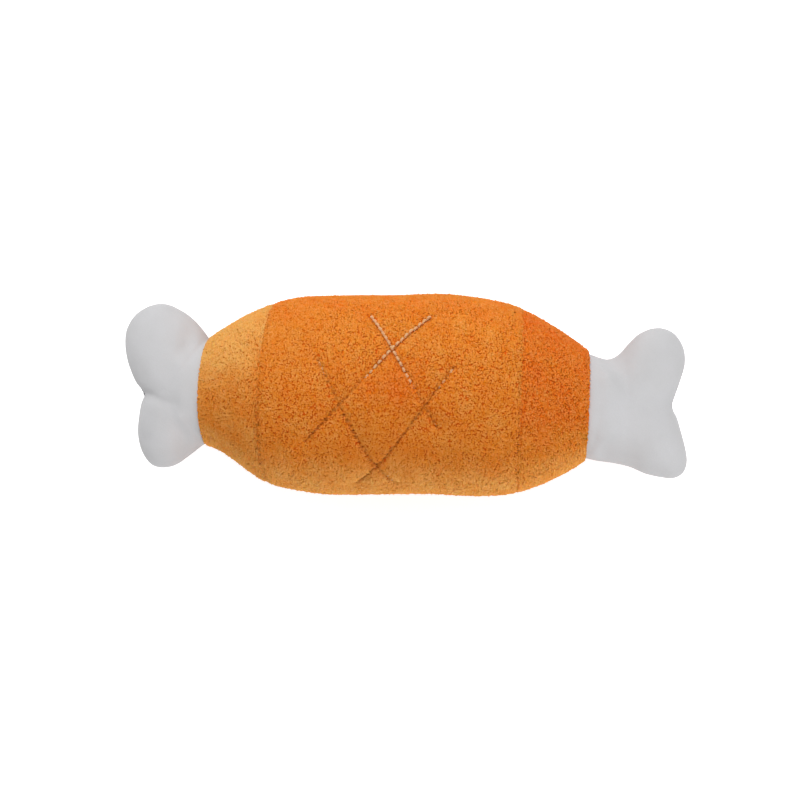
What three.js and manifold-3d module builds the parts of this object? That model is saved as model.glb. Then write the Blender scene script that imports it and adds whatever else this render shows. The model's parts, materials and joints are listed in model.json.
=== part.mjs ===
// A squeaking plush dog toy: a stuffed orange barrel with scored stitch lines on its front,
// and a stuffed white bone knob sewn into each end. It lies on its back, front upwards.
// Millimetres, +Z up, +X along the toy. The origin is under the middle of the toy, on the floor.
import * as THREE from "three";
import { mergeVertices } from "three/addons/utils/BufferGeometryUtils.js";
import Module from "manifold-3d";

const wasm = await Module();
wasm.setup();

// Clearances.
const seat = 0.3; // between two pieces that touch
const give = 0.7; // between stuffing and the cloth round it
const neckGive = 1; // between the stuffing of a neck and its cloth, which turn past each other
const press = 0.15; // half of the gap where two flat faces are sewn together
const overrun = 2; // how far a cutting solid passes the face it cuts

// Orange cover: a barrel sleeve between two tapering end panels.
const coverRadius = 37.9;
const seamRadius = 34.6;
const ringRadius = 20.7;
const panelHalf = 46; // half the sleeve's length
const bodyHalf = 70.8; // from the toy's middle to the ring at either end
const coverWall = 2.4; // backing cloth and pile together
const endBulge = 1.1; // how far an end panel stands out from a straight cone
const barrelPower = 5; // how suddenly the sleeve turns down to its seams
const floorCut = 0.5; // depth of the flat that the toy lies on
const coverSides = 28;

// Seams of the cover: a turned-in allowance on each side and a valley outside.
const allowanceDepth = 4.2;
const allowanceWall = 1.2;
const valleyWidth = 0.9; // on each side of the seam
const valleyDepth = 1.3;
const threadRadius = 0.25;
const threadSides = 3;

// The sleeve's lengthwise seam, where the toy was stuffed and closed by hand.
const closingAngle = 38; // degrees up from the floor, on the far side
const closingPitch = 5.5; // from one ladder stitch to the next
const closingHalfShare = 0.8; // of the sleeve's half length
const closingSwing = 0.55; // of the thread to either side of the seam

// Scored lines: two rows of two, crossing in a slanted cell. Each line's middle is given on the unrolled
// sleeve, along the toy and round from the crown. A lean is in degrees from straight round the barrel.
const scoreMiddles = {
  falling: [[4.7, 11.7], [-11.7, -13.5]],
  rising: [[-7.6, 8], [5.5, -14.3]],
};
const scoreLeans = { falling: [30.5, 26.5], rising: [39.4, 32.9] };
const scoreHalves = { falling: [25.3, 30.3], rising: [33.3, 31.3] };
const scoreWidth = 1.8;
const scoreDepth = 1;
const stitchPitch = 2.3;
const stitchDip = 0.12; // how far the thread sinks at each needle hole

// Bone knobs: a ball-shaped neck in the ring, a flattened middle and two lobes.
const neckRadius = 19.4;
const neckSpare = 0.5; // how far a knob's form stands outside the neck's ball, which trims it
const boneWall = 2;
const neckCover = 33; // degrees of the ball inside the ring that the cloth covers
const fillet = 9; // how softly the neck, middle and lobes run together
const filletFrom = 7; // the neck has no fillet nearer to the ring than this
const filletFull = 17;
const wagSwing = 8; // degrees that a knob swings sideways, either way
const foldSwing = 25; // and up or down
const boneRound = 24; // facets round the bone, seen along the toy
const boneRows = 12;
const leftReach = 33; // from the ring to a knob's far end
const leftSpan = 60; // across its lobes
const leftThickness = 26;
const rightReach = 37.6;
const rightSpan = 55.5;
const rightThickness = 25.2;

// The rounded forms of each knob: places and half lengths as shares of its reach, span and thickness.
const leftKnobShares = [
  { x: 0.37, y: -0.017, long: 0.394, wide: 0.338, thick: 0.5 }, // middle
  { x: 0.576, y: 0.277, long: 0.424, wide: 0.25, thick: 0.5 }, // upper lobe
  { x: 0.491, y: -0.283, long: 0.3, wide: 0.195, thick: 0.446 }, // lower lobe
];
const rightKnobShares = [
  { x: 0.394, y: -0.022, long: 0.457, wide: 0.35, thick: 0.5 }, // middle
  { x: 0.665, y: 0.321, long: 0.287, wide: 0.225, thick: 0.452 }, // upper lobe
  { x: 0.798, y: -0.31, long: 0.202, wide: 0.139, thick: 0.357 }, // lower lobe
  { x: 0.585, y: -0.216, long: 0.266, wide: 0.162, thick: 0.421 }, // the lower lobe's heel
];

// Stuffing.
const endWadReach = 40; // from the toy's middle to the face of an end wad
const wadSides = 20;
const socketSteps = 6; // in the hollow that a neck turns in

// Squeaker: a soft plastic capsule that folds flat, with a reed whistle in its lower face.
const capsuleRadius = 21;
const capsuleHalf = 10; // half the capsule's height
const capsuleWall = 1;
const capsuleChamfer = 2.2;
const foldHalf = 4.5; // half the height of the folded wall
const foldDepth = 2;
const foldWall = 0.7;
const foldCount = 2;
const capsuleSides = 24;
const whistleRadius = 4.2;
const whistleWall = 0.8;
const whistleLength = 11.5;
const whistleFlange = 6.5;
const flangeWall = 1.2;
const reedWide = 3.2;
const reedLong = 8;
const reedThick = 0.2;
const reedBlockLong = 9;
const reedRoot = 2; // how much of the reed is clamped
const whistleSides = 20;

const degrees = THREE.MathUtils.degToRad;
const neckThreadX = bodyHalf + seat / 2 + threadRadius;
const materials = {
  plush: new THREE.MeshStandardMaterial({ color: 0xe0812f, roughness: 0.95 }),
  fleece: new THREE.MeshStandardMaterial({ color: 0xd9d9dc, roughness: 0.95 }),
  scoreThread: new THREE.MeshStandardMaterial({ color: 0xb7a596, roughness: 0.7 }),
  seamThread: new THREE.MeshStandardMaterial({ color: 0xb9601c, roughness: 0.8 }),
  whiteThread: new THREE.MeshStandardMaterial({ color: 0xcfcfd2, roughness: 0.8 }),
  filling: new THREE.MeshStandardMaterial({ color: 0xf2f1ec, roughness: 1 }),
  capsule: new THREE.MeshStandardMaterial({ color: 0xe9ecee, roughness: 0.45 }),
  whistle: new THREE.MeshStandardMaterial({ color: 0xdfe7ee, roughness: 0.35 }),
  reedFilm: new THREE.MeshStandardMaterial({ color: 0xd8dde2, roughness: 0.25 }),
};

// Solids.
function solid(geometry) {
  const bare = geometry.index ? geometry.toNonIndexed() : geometry.clone();
  const points = new THREE.BufferGeometry().setAttribute("position", bare.getAttribute("position"));
  const merged = mergeVertices(points, 1e-4);
  const triVerts = new Uint32Array(merged.index.array);
  const vertProperties = merged.attributes.position.array;
  const made = new wasm.Manifold(new wasm.Mesh({ numProp: 3, vertProperties, triVerts }));
  if (made.volume() > 0) return made;
  for (let i = 0; i < triVerts.length; i += 3) {
    [triVerts[i + 1], triVerts[i + 2]] = [triVerts[i + 2], triVerts[i + 1]];
  }
  return new wasm.Manifold(new wasm.Mesh({ numProp: 3, vertProperties, triVerts }));
}

function meshOf(name, shape, material) {
  const { vertProperties, triVerts } = shape.getMesh();
  const geometry = new THREE.BufferGeometry()
    .setAttribute("position", new THREE.BufferAttribute(vertProperties, 3))
    .setIndex(new THREE.BufferAttribute(triVerts, 1));
  geometry.computeVertexNormals();
  const mesh = new THREE.Mesh(geometry, material);
  mesh.name = name;
  return mesh;
}

// A solid of revolution about the toy's long axis, from [x, radius] points.
function turnedAlongX(points, sides) {
  const outline = points.map(([x, radius]) => new THREE.Vector2(radius, x));
  const onAxis = points[0][1] === 0 && points.at(-1)[1] === 0;
  if (!onAxis) outline.push(outline[0].clone());
  const lathe = new THREE.LatheGeometry(outline, sides);
  return solid(lathe.rotateZ(-Math.PI / 2));
}

// A solid of revolution about an upright axis, from [radius, z] points.
function turnedAlongZ(points, sides) {
  const outline = points.map(([radius, z]) => new THREE.Vector2(radius, z));
  const onAxis = points[0][0] === 0 && points.at(-1)[0] === 0;
  if (!onAxis) outline.push(outline[0].clone());
  const lathe = new THREE.LatheGeometry(outline, sides);
  return solid(lathe.rotateX(Math.PI / 2));
}

function block(low, high) {
  const size = new THREE.Vector3().subVectors(high, low);
  const middle = new THREE.Vector3().addVectors(low, high).multiplyScalar(1 / 2);
  return solid(new THREE.BoxGeometry(size.x, size.y, size.z).translate(middle.x, middle.y, middle.z));
}

// A bar of one section along a list of frames { at, side, up }, with ends closed or joined in a ring.
function bar(frames, section, isRing) {
  const positions = [];
  const index = [];
  const around = section.length;
  for (const { at, side, up } of frames) {
    for (const [across, high] of section) {
      const corner = at.clone().addScaledVector(side, across).addScaledVector(up, high);
      positions.push(corner.x, corner.y, corner.z);
    }
  }
  const spans = isRing ? frames.length : frames.length - 1;
  for (let i = 0; i < spans; i++) {
    const here = i * around;
    const next = ((i + 1) % frames.length) * around;
    for (let j = 0; j < around; j++) {
      const k = (j + 1) % around;
      index.push(here + j, next + j, next + k, here + j, next + k, here + k);
    }
  }
  if (!isRing) {
    const last = (frames.length - 1) * around;
    for (let j = 1; j < around - 1; j++) {
      index.push(0, j, j + 1, last, last + j + 1, last + j);
    }
  }
  const geometry = new THREE.BufferGeometry();
  geometry.setAttribute("position", new THREE.Float32BufferAttribute(positions, 3));
  geometry.setIndex(index);
  return solid(geometry);
}

function roundSection(radius, sides) {
  return Array.from({ length: sides }, (_, i) => {
    const turn = (2 * Math.PI * i) / sides;
    return [radius * Math.cos(turn), radius * Math.sin(turn)];
  });
}

const threadSection = roundSection(threadRadius, threadSides);

// Frames along a path of points, each with its own up direction.
function framesAlong(points, ups) {
  return points.map((at, i) => {
    const before = points[Math.max(i - 1, 0)];
    const after = points[Math.min(i + 1, points.length - 1)];
    const along = new THREE.Vector3().subVectors(after, before).normalize();
    const side = new THREE.Vector3().crossVectors(along, ups[i]).normalize();
    return { at, side, up: new THREE.Vector3().crossVectors(side, along).normalize() };
  });
}

// The cover's outer radius at a place along the toy.
function coverRadiusAt(x) {
  const out = Math.abs(x);
  if (out <= panelHalf) {
    return seamRadius + (coverRadius - seamRadius) * (1 - (out / panelHalf) ** barrelPower);
  }
  const share = Math.min((out - panelHalf) / (bodyHalf - panelHalf), 1);
  return seamRadius + (ringRadius - seamRadius) * share + endBulge * 4 * share * (1 - share);
}

// The radius of the cover's inner face, thinned where the neck's ball needs the room.
function coverInsideAt(x) {
  const inside = coverRadiusAt(x) - coverWall;
  const socket = neckRadius + seat;
  const fromRing = bodyHalf - Math.abs(x);
  return fromRing < socket ? Math.max(inside, Math.sqrt(socket ** 2 - fromRing ** 2)) : inside;
}

// A point on the cover at x along the toy and an angle round from the crown, lifted by height.
function onCover(x, angle, height) {
  const radius = coverRadiusAt(x) + height;
  return new THREE.Vector3(x, radius * Math.sin(angle), radius * Math.cos(angle));
}

function outwardAt(angle) {
  return new THREE.Vector3(0, Math.sin(angle), Math.cos(angle));
}

// Sleeve: a rolled strip of plush with allowances turned in at both ends and along its closing seam.
const barrelShares = [-0.93, -0.8, -0.5, 0, 0.5, 0.8, 0.93];
const sleeveEnd = panelHalf - press;

function allowance(face, inwards, bend) {
  return [
    [face, seamRadius - valleyDepth],
    [face, seamRadius - valleyDepth - allowanceDepth],
    [face + inwards * allowanceWall, seamRadius - valleyDepth - allowanceDepth],
    [face + inwards * allowanceWall, bend],
  ];
}

function sleeveShell() {
  const outside = barrelShares.map((share) => {
    const x = share * panelHalf;
    return [x, coverRadiusAt(x)];
  });
  const inside = [...outside].reverse().map(([x]) => [x, coverInsideAt(x)]);
  const bend = coverInsideAt(sleeveEnd - allowanceWall);
  const valleyEdge = panelHalf - valleyWidth;
  return turnedAlongX(
    [
      [-valleyEdge, coverRadiusAt(valleyEdge)],
      ...outside,
      [valleyEdge, coverRadiusAt(valleyEdge)],
      ...allowance(sleeveEnd, -1, bend),
      ...inside,
      ...allowance(-sleeveEnd, 1, bend).reverse(),
    ],
    coverSides,
  );
}

// Frames along the closing seam, on the sleeve's outer face.
const closingTurn = Math.PI - degrees(closingAngle);
const closingOut = outwardAt(closingTurn);

function closingFrames(half, count, depth, turn = closingTurn) {
  const points = Array.from({ length: count + 1 }, (_, i) => {
    const x = half * ((2 * i) / count - 1);
    return onCover(x, turn, -depth);
  });
  return framesAlong(points, points.map(() => outwardAt(turn)));
}

function barSection(halfWidth, low, high) {
  return [
    [-halfWidth, low],
    [halfWidth, low],
    [halfWidth, high],
    [-halfWidth, high],
  ];
}

const closingSteps = 8;

function closingAllowances() {
  const halfWidth = press + allowanceWall;
  const section = barSection(halfWidth, -coverWall - allowanceDepth, -coverWall / 2);
  return bar(closingFrames(sleeveEnd - allowanceWall / 2, closingSteps, 0), section, false);
}

function closingSlit() {
  const section = barSection(press, -coverWall - allowanceDepth - overrun, overrun);
  return bar(closingFrames(panelHalf + overrun, closingSteps, 0), section, false);
}

function closingValley() {
  const section = barSection(scoreWidth / 2, -scoreDepth, overrun);
  return bar(closingFrames(panelHalf + overrun, closingSteps, 0), section, false);
}

// Scored lines.
function scoredLine(name, i, way) {
  const lean = degrees(scoreLeans[name][i]);
  return {
    name,
    middle: new THREE.Vector2(...scoreMiddles[name][i]),
    along: new THREE.Vector2(way * Math.sin(lean), -Math.cos(lean)),
    half: scoreHalves[name][i],
    crossings: [],
  };
}

// How far along one line, from its middle, it meets another.
function crossingRun(line, other) {
  return other.middle.clone().sub(line.middle).cross(other.along) / line.along.cross(other.along);
}

function scoredLines() {
  const falling = [0, 1].map((i) => scoredLine("falling", i, 1));
  const rising = [0, 1].map((i) => scoredLine("rising", i, -1));
  for (const line of rising) line.crossings = falling.map((other) => crossingRun(line, other));
  return [...falling, ...rising];
}

function scoreFrames(line, reach, steps, heightAt) {
  const points = [];
  const ups = [];
  for (let i = 0; i <= steps; i++) {
    const run = reach * ((2 * i) / steps - 1);
    const place = line.middle.clone().addScaledVector(line.along, run);
    const angle = place.y / coverRadius;
    points.push(onCover(place.x, angle, heightAt(run, i)));
    ups.push(outwardAt(angle));
  }
  return framesAlong(points, ups);
}

const scoreSteps = 8;

function scoreGroove(line) {
  const section = barSection(scoreWidth / 2, -scoreDepth, overrun);
  return bar(scoreFrames(line, line.half + scoreWidth / 2, scoreSteps, () => 0), section, false);
}

// One running-stitch thread. A rising thread climbs over each falling one that it crosses.
function scoreThread(line) {
  const low = threadRadius + seat - scoreDepth;
  const climb = 2 * threadRadius + seat + stitchDip;
  const stitches = Math.round((2 * line.half) / stitchPitch);
  const heightAt = (run, i) => {
    const dip = i % 2 === 0 ? 0 : stitchDip;
    const lifts = line.crossings.map((place) => {
      const away = Math.abs(run - place) / stitchPitch;
      return climb * Math.max(0, Math.min(1, 2 - away));
    });
    return low + stitchDip - dip + Math.max(0, ...lifts);
  };
  return bar(scoreFrames(line, line.half, 2 * stitches, heightAt), threadSection, false);
}

// Threads that hold the rings of seams.
function ringThread(x, radius) {
  const frames = Array.from({ length: coverSides }, (_, i) => {
    const angle = (2 * Math.PI * i) / coverSides;
    const up = outwardAt(angle);
    const at = new THREE.Vector3(x, 0, 0).addScaledVector(up, radius);
    return { at, side: new THREE.Vector3(1, 0, 0), up };
  });
  return bar(frames, threadSection, true);
}

// How high a thread rides over the bottom of a seam's valley.
function valleyRide() {
  const slope = Math.hypot(valleyWidth - press, valleyDepth) / valleyDepth;
  const spread = (threadRadius + seat) * slope - press;
  return (spread * valleyDepth) / (valleyWidth - press);
}

function closingThread() {
  const half = closingHalfShare * panelHalf;
  const count = 2 * Math.round((2 * half) / closingPitch);
  const frames = closingFrames(half, count, scoreDepth - threadRadius - seat);
  frames.forEach(({ at, side }, i) => at.addScaledVector(side, i % 2 === 0 ? closingSwing : -closingSwing));
  return bar(framesAlong(frames.map(({ at }) => at), frames.map(() => closingOut)), threadSection, false);
}

// End panel: a tapering tube of plush from the sleeve's seam to the ring round a bone's neck.
const taperShares = [0.15, 0.4, 0.65, 0.87];

function endPanel() {
  const length = bodyHalf - panelHalf;
  const start = panelHalf + press;
  const stations = taperShares.map((share) => panelHalf + share * length);
  const bend = coverInsideAt(start + allowanceWall);
  return turnedAlongX(
    [
      [panelHalf + valleyWidth, coverRadiusAt(panelHalf + valleyWidth)],
      ...stations.map((x) => [x, coverRadiusAt(x)]),
      [bodyHalf, ringRadius],
      [bodyHalf, coverInsideAt(bodyHalf)],
      ...[...stations].reverse().map((x) => [x, coverInsideAt(x)]),
      ...allowance(start, 1, bend).reverse(),
    ],
    coverSides,
  );
}

// Bone knobs. A bone's own frame has its neck's middle at the origin and +X outwards.
function ellipsoidDepth(point, form, wall) {
  const long = form.long - wall;
  const wide = form.wide - wall;
  const thick = form.thick - wall;
  const away = Math.hypot((point.x - form.x) / long, (point.y - form.y) / wide, point.z / thick);
  return (away - 1) * Math.min(long, wide, thick);
}

function softUnion(a, b, softness) {
  if (softness <= 0) return Math.min(a, b);
  const near = Math.max(softness - Math.abs(a - b), 0) / softness;
  return Math.min(a, b) - (near * near * softness) / 4;
}

// How far a point lies outside the bone's surface, or inside it where negative.
function boneDepth(point, forms, wall) {
  const share = THREE.MathUtils.smoothstep(point.x, filletFrom, filletFull);
  const softness = fillet * share;
  const neck = point.length() - (neckRadius + neckSpare - wall);
  return forms.reduce((depth, form) => softUnion(depth, ellipsoidDepth(point, form, wall), softness), neck);
}

// The point where a ray from the bone's middle leaves its surface.
function boneSurface(from, towards, forms, wall) {
  let near = 0;
  let far = 4 * neckRadius;
  const point = new THREE.Vector3();
  while (far - near > seat / 1000) {
    const half = (near + far) / 2;
    point.copy(from).addScaledVector(towards, half);
    if (boneDepth(point, forms, wall) < 0) near = half;
    else far = half;
  }
  return point.copy(from).addScaledVector(towards, near);
}

// The whole closed form of a bone, shrunk by a wall. Rows run from the inner pole to the tip.
function boneForm(forms, wall) {
  const from = new THREE.Vector3(forms[0].x, 0, 0);
  const positions = [];
  const index = [];
  const push = (p) => positions.push(p.x, p.y, p.z);
  push(boneSurface(from, new THREE.Vector3(-1, 0, 0), forms, wall));
  for (let row = 1; row < boneRows; row++) {
    const tilt = (Math.PI * row) / boneRows;
    for (let i = 0; i < boneRound; i++) {
      const turn = (2 * Math.PI * i) / boneRound;
      const across = Math.sin(tilt);
      const towards = new THREE.Vector3(-Math.cos(tilt), across * Math.cos(turn), across * Math.sin(turn));
      push(boneSurface(from, towards, forms, wall));
    }
  }
  push(boneSurface(from, new THREE.Vector3(1, 0, 0), forms, wall));
  const tip = positions.length / 3 - 1;
  for (let i = 0; i < boneRound; i++) {
    const k = (i + 1) % boneRound;
    index.push(0, 1 + k, 1 + i);
    const last = 1 + (boneRows - 2) * boneRound;
    index.push(tip, last + i, last + k);
    for (let row = 0; row < boneRows - 2; row++) {
      const here = 1 + row * boneRound;
      const next = here + boneRound;
      index.push(here + i, here + k, next + k, here + i, next + k, next + i);
    }
  }
  const geometry = new THREE.BufferGeometry();
  geometry.setAttribute("position", new THREE.Float32BufferAttribute(positions, 3));
  geometry.setIndex(index);
  return solid(geometry);
}

function ball(radius) {
  return solid(new THREE.SphereGeometry(radius, wadSides, wadSides / 2).rotateX(Math.PI / 2));
}

// What is cut from the back of a knob, outside its neck's ball, so that it can swing past the ring.
function swingRoom() {
  const far = 4 * neckRadius;
  const back = neckThreadX - bodyHalf + threadRadius + seat + ringRadius * Math.tan(degrees(wagSwing));
  const slant = back + far * Math.tan(degrees(foldSwing));
  const outline = [
    [-far, -far],
    [slant, -far],
    [back, 0],
    [slant, far],
    [-far, far],
  ];
  const shape = new THREE.Shape(outline.map(([x, z]) => new THREE.Vector2(x, z)));
  const wedge = new THREE.ExtrudeGeometry(shape, { depth: 2 * far, bevelEnabled: false });
  return solid(wedge.translate(0, 0, -far).rotateX(Math.PI / 2)).subtract(ball(neckRadius));
}

// The seam thread between a bone's two cloths, round the knob from one side of the ring to the other.
function boneSeam(forms, radius) {
  const from = new THREE.Vector3(forms[0].x, 0, 0);
  const steps = boneRound - 4;
  const points = [];
  for (let i = 0; i <= steps; i++) {
    const turn = Math.PI * ((4 / 5) * ((2 * i) / steps - 1));
    const towards = new THREE.Vector3(Math.cos(turn), Math.sin(turn), 0);
    points.push(boneSurface(from, towards, forms, boneWall / 2));
  }
  const up = new THREE.Vector3(0, 0, 1);
  return bar(framesAlong(points, points.map(() => up)), roundSection(radius, threadSides), false);
}

function knobForms(shares, reach, span, thickness) {
  return shares.map(({ x, y, long, wide, thick }) => ({
    x: x * reach,
    y: y * span,
    long: long * reach,
    wide: wide * span,
    thick: thick * thickness,
  }));
}

function bone(side, sizes) {
  const turn = side === "left" ? -1 : 1; // the left bone is turned half round, so its Y is reversed
  const forms = sizes.map((form) => ({ ...form, y: turn * form.y }));
  const far = 4 * neckRadius;
  const baseX = -neckRadius * Math.sin(degrees(neckCover));
  const half = (sign) =>
    block(
      new THREE.Vector3(baseX, -far, sign > 0 ? press : -far),
      new THREE.Vector3(far, far, sign > 0 ? far : -press),
    );
  const channel = boneSeam(forms, threadRadius + seat);
  const outside = boneForm(forms, 0).subtract(swingRoom());
  const cloth = outside.subtract(boneForm(forms, boneWall)).subtract(channel);
  const inside = boneForm(forms, boneWall + give).subtract(ball(neckRadius + neckSpare - boneWall));
  const outer = block(new THREE.Vector3(0, -far, -far), new THREE.Vector3(far, far, far));
  const parts = {
    cloth_front: meshOf(`${side}_bone_front`, cloth.intersect(half(1)), materials.fleece),
    cloth_back: meshOf(`${side}_bone_back`, cloth.intersect(half(-1)), materials.fleece),
    seam: meshOf(`${side}_bone_seam_thread`, boneSeam(forms, threadRadius), materials.whiteThread),
    filling: meshOf(
      `${side}_bone_filling`,
      inside.intersect(outer),
      materials.filling,
    ),
    wad: meshOf(`${side}_neck_wad`, ball(neckRadius - boneWall - neckGive), materials.filling),
  };
  const knob = new THREE.Group();
  knob.add(...Object.values(parts));
  knob.position.x = turn * bodyHalf;
  knob.rotation.z = side === "left" ? Math.PI : 0;
  return knob;
}

// Stuffing.
function closingHollow(turn) {
  const section = barSection(press + allowanceWall + give, -coverWall - allowanceDepth - give, overrun);
  return bar(closingFrames(panelHalf, closingSteps, 0, turn), section, false);
}

function endWad(side) {
  const socket = neckRadius + give;
  const inside = (x) => coverInsideAt(x) - give;
  const notchRadius = seamRadius - valleyDepth - allowanceDepth - give;
  const notchHalf = press + allowanceWall + give;
  const mouth = bodyHalf - socket * Math.sin(degrees(neckCover / 3));
  const arc = Array.from({ length: socketSteps }, (_, i) => {
    const turn = Math.acos((bodyHalf - mouth) / socket) * (1 - i / socketSteps);
    return [bodyHalf - socket * Math.cos(turn), socket * Math.sin(turn)];
  });
  const taper = taperShares.slice(0, -1).map((share) => panelHalf + share * (bodyHalf - panelHalf));
  const wad = turnedAlongX(
    [
      [endWadReach, 0],
      [endWadReach, inside(endWadReach)],
      [panelHalf - notchHalf, inside(panelHalf - notchHalf)],
      [panelHalf - notchHalf, notchRadius],
      [panelHalf + notchHalf, notchRadius],
      [panelHalf + notchHalf, inside(panelHalf + notchHalf)],
      ...taper.map((x) => [x, inside(x)]),
      ...arc,
      [bodyHalf - socket, 0],
    ],
    wadSides,
  );
  return wad.subtract(closingHollow(side === "left" ? -closingTurn : closingTurn));
}

function middleWads() {
  const face = endWadReach - seat;
  const stations = barrelShares.map((share) => share * panelHalf).filter((x) => Math.abs(x) < face);
  const barrel = turnedAlongX(
    [
      [-face, 0],
      [-face, coverInsideAt(face) - give],
      ...stations.map((x) => [x, coverInsideAt(x) - give]),
      [face, coverInsideAt(face) - give],
      [face, 0],
    ],
    wadSides,
  );
  const pocket = turnedAlongZ(
    [
      [0, -capsuleHalf - flangeWall - 2 * seat],
      [whistleFlange + seat, -capsuleHalf - flangeWall - 2 * seat],
      [whistleFlange + seat, -capsuleHalf - seat],
      [capsuleRadius + seat, -capsuleHalf - seat],
      [capsuleRadius + seat, capsuleHalf + seat],
      [0, capsuleHalf + seat],
    ],
    capsuleSides,
  );
  const packed = barrel.subtract(pocket).subtract(closingHollow(closingTurn));
  const far = 2 * panelHalf;
  const above = block(new THREE.Vector3(-far, -far, press), new THREE.Vector3(far, far, far));
  const below = block(new THREE.Vector3(-far, -far, -far), new THREE.Vector3(far, far, -press));
  return { front: packed.intersect(above), rear: packed.intersect(below) };
}

// Squeaker.
const whistleHole = whistleRadius + seat;

function lowerShell() {
  const inner = capsuleRadius - capsuleWall;
  const floor = capsuleWall - capsuleHalf;
  return turnedAlongZ(
    [
      [whistleHole, -capsuleHalf],
      [capsuleRadius - capsuleChamfer, -capsuleHalf],
      [capsuleRadius, capsuleChamfer - capsuleHalf],
      [capsuleRadius, -foldHalf - press],
      [inner, -foldHalf - press],
      [inner, floor + capsuleChamfer / 2],
      [inner - capsuleChamfer / 2, floor],
      [whistleHole, floor],
    ],
    capsuleSides,
  );
}

function upperShell() {
  const inner = capsuleRadius - capsuleWall;
  const roof = capsuleHalf - capsuleWall;
  return turnedAlongZ(
    [
      [0, roof],
      [inner - capsuleChamfer / 2, roof],
      [inner, roof - capsuleChamfer / 2],
      [inner, foldHalf + press],
      [capsuleRadius, foldHalf + press],
      [capsuleRadius, capsuleHalf - capsuleChamfer],
      [capsuleRadius - capsuleChamfer, capsuleHalf],
      [0, capsuleHalf],
    ],
    capsuleSides,
  );
}

// The bellows between the shells, folding in and out.
function foldedWall() {
  const steps = 2 * foldCount;
  const ridge = (i) => (i % 2 === 0 ? capsuleRadius : capsuleRadius - foldDepth);
  const outside = Array.from({ length: steps + 1 }, (_, i) => [
    ridge(i),
    foldHalf * ((2 * i) / steps - 1),
  ]);
  const inside = [...outside].reverse().map(([radius, z]) => [radius - foldWall, z]);
  return turnedAlongZ([...outside, ...inside], capsuleSides);
}

function whistleTube() {
  const bore = whistleRadius - whistleWall;
  const under = -capsuleHalf - seat - flangeWall;
  return turnedAlongZ(
    [
      [bore, under],
      [whistleFlange, under],
      [whistleFlange, under + flangeWall],
      [whistleRadius, under + flangeWall],
      [whistleRadius, under + whistleLength],
      [bore, under + whistleLength],
    ],
    whistleSides,
  );
}

// The two halves of the plug that clamp the reed in the whistle's bore.
const plugRadius = whistleRadius - whistleWall - seat;
const plugBottom = -capsuleHalf - seat - flangeWall + (whistleLength - reedBlockLong) / 2;
const reedFace = reedThick / 2 + seat;

function halfPlug(long, sign) {
  const plug = turnedAlongZ(
    [
      [0, plugBottom],
      [plugRadius, plugBottom],
      [plugRadius, plugBottom + long],
      [0, plugBottom + long],
    ],
    whistleSides,
  );
  const wide = 2 * whistleRadius;
  const low = new THREE.Vector3(-wide, sign > 0 ? reedFace : -wide, -2 * capsuleHalf);
  const high = new THREE.Vector3(wide, sign > 0 ? wide : -reedFace, 2 * capsuleHalf);
  return plug.intersect(block(low, high));
}

function reedStrip() {
  const low = new THREE.Vector3(-reedWide / 2, -reedThick / 2, plugBottom + seat);
  const high = new THREE.Vector3(reedWide / 2, reedThick / 2, plugBottom + seat + reedLong);
  return block(low, high);
}

// Assembly about the barrel's own axis.
const axisHeight = coverRadius - floorCut;
const barrel = new THREE.Group();
const floor = block(
  new THREE.Vector3(-bodyHalf, -bodyHalf, -2 * bodyHalf),
  new THREE.Vector3(bodyHalf, bodyHalf, -axisHeight),
);

const lines = scoredLines();
let sleeve = sleeveShell().add(closingAllowances()).subtract(closingSlit()).subtract(closingValley());
for (const line of lines) sleeve = sleeve.subtract(scoreGroove(line));
barrel.add(meshOf("middle_sleeve", sleeve.subtract(floor), materials.plush));
lines.forEach((line, i) => {
  const number = (i % 2) + 1;
  barrel.add(meshOf(`${line.name}_score_thread_${number}`, scoreThread(line), materials.scoreThread));
});
barrel.add(meshOf("closing_seam_thread", closingThread(), materials.seamThread));

const seamThreadRadius = seamRadius - valleyDepth + valleyRide();
const neckThreadRadius = (ringRadius + neckRadius + seat) / 2;
const knobs = {
  left: knobForms(leftKnobShares, leftReach, leftSpan, leftThickness),
  right: knobForms(rightKnobShares, rightReach, rightSpan, rightThickness),
};
for (const side of ["left", "right"]) {
  const end = new THREE.Group();
  end.add(meshOf(`${side}_end_panel`, endPanel(), materials.plush));
  end.add(meshOf(`${side}_body_seam_thread`, ringThread(panelHalf, seamThreadRadius), materials.seamThread));
  end.add(meshOf(`${side}_neck_seam_thread`, ringThread(neckThreadX, neckThreadRadius), materials.seamThread));
  end.add(meshOf(`${side}_end_filling`, endWad(side), materials.filling));
  end.rotation.z = side === "left" ? Math.PI : 0;
  barrel.add(end, bone(side, knobs[side]));
}

const wads = middleWads();
barrel.add(meshOf("front_filling", wads.front, materials.filling));
barrel.add(meshOf("rear_filling", wads.rear, materials.filling));

barrel.add(meshOf("squeaker_lower_shell", lowerShell(), materials.capsule));
barrel.add(meshOf("squeaker_folded_wall", foldedWall(), materials.capsule));
barrel.add(meshOf("squeaker_upper_shell", upperShell(), materials.capsule));
barrel.add(meshOf("whistle_tube", whistleTube(), materials.whistle));
barrel.add(meshOf("reed_block", halfPlug(reedBlockLong, -1), materials.whistle));
barrel.add(meshOf("reed_wedge", halfPlug(reedRoot, 1), materials.whistle));
barrel.add(meshOf("reed", reedStrip(), materials.reedFilm));

// The bones reach out unequally, so the barrel stands off the toy's middle.
const toy = new THREE.Group();
toy.add(barrel);
const extent = new THREE.Box3().setFromObject(barrel);
barrel.position.set(-(extent.min.x + extent.max.x) / 2, 0, axisHeight);

export default toy;
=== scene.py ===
# A squeaking plush dog toy, lying on its back with its front upwards: a stuffed barrel of short orange
# pile with four scored stitch lines, a white fleece bone knob sewn into each end, and a squeaker inside.
# Everything is in metres, in the part's own frame: +X along the toy and +Z up through the scored front.
import json
import math

import bpy
import numpy as np
from mathutils import Matrix, Vector

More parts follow.
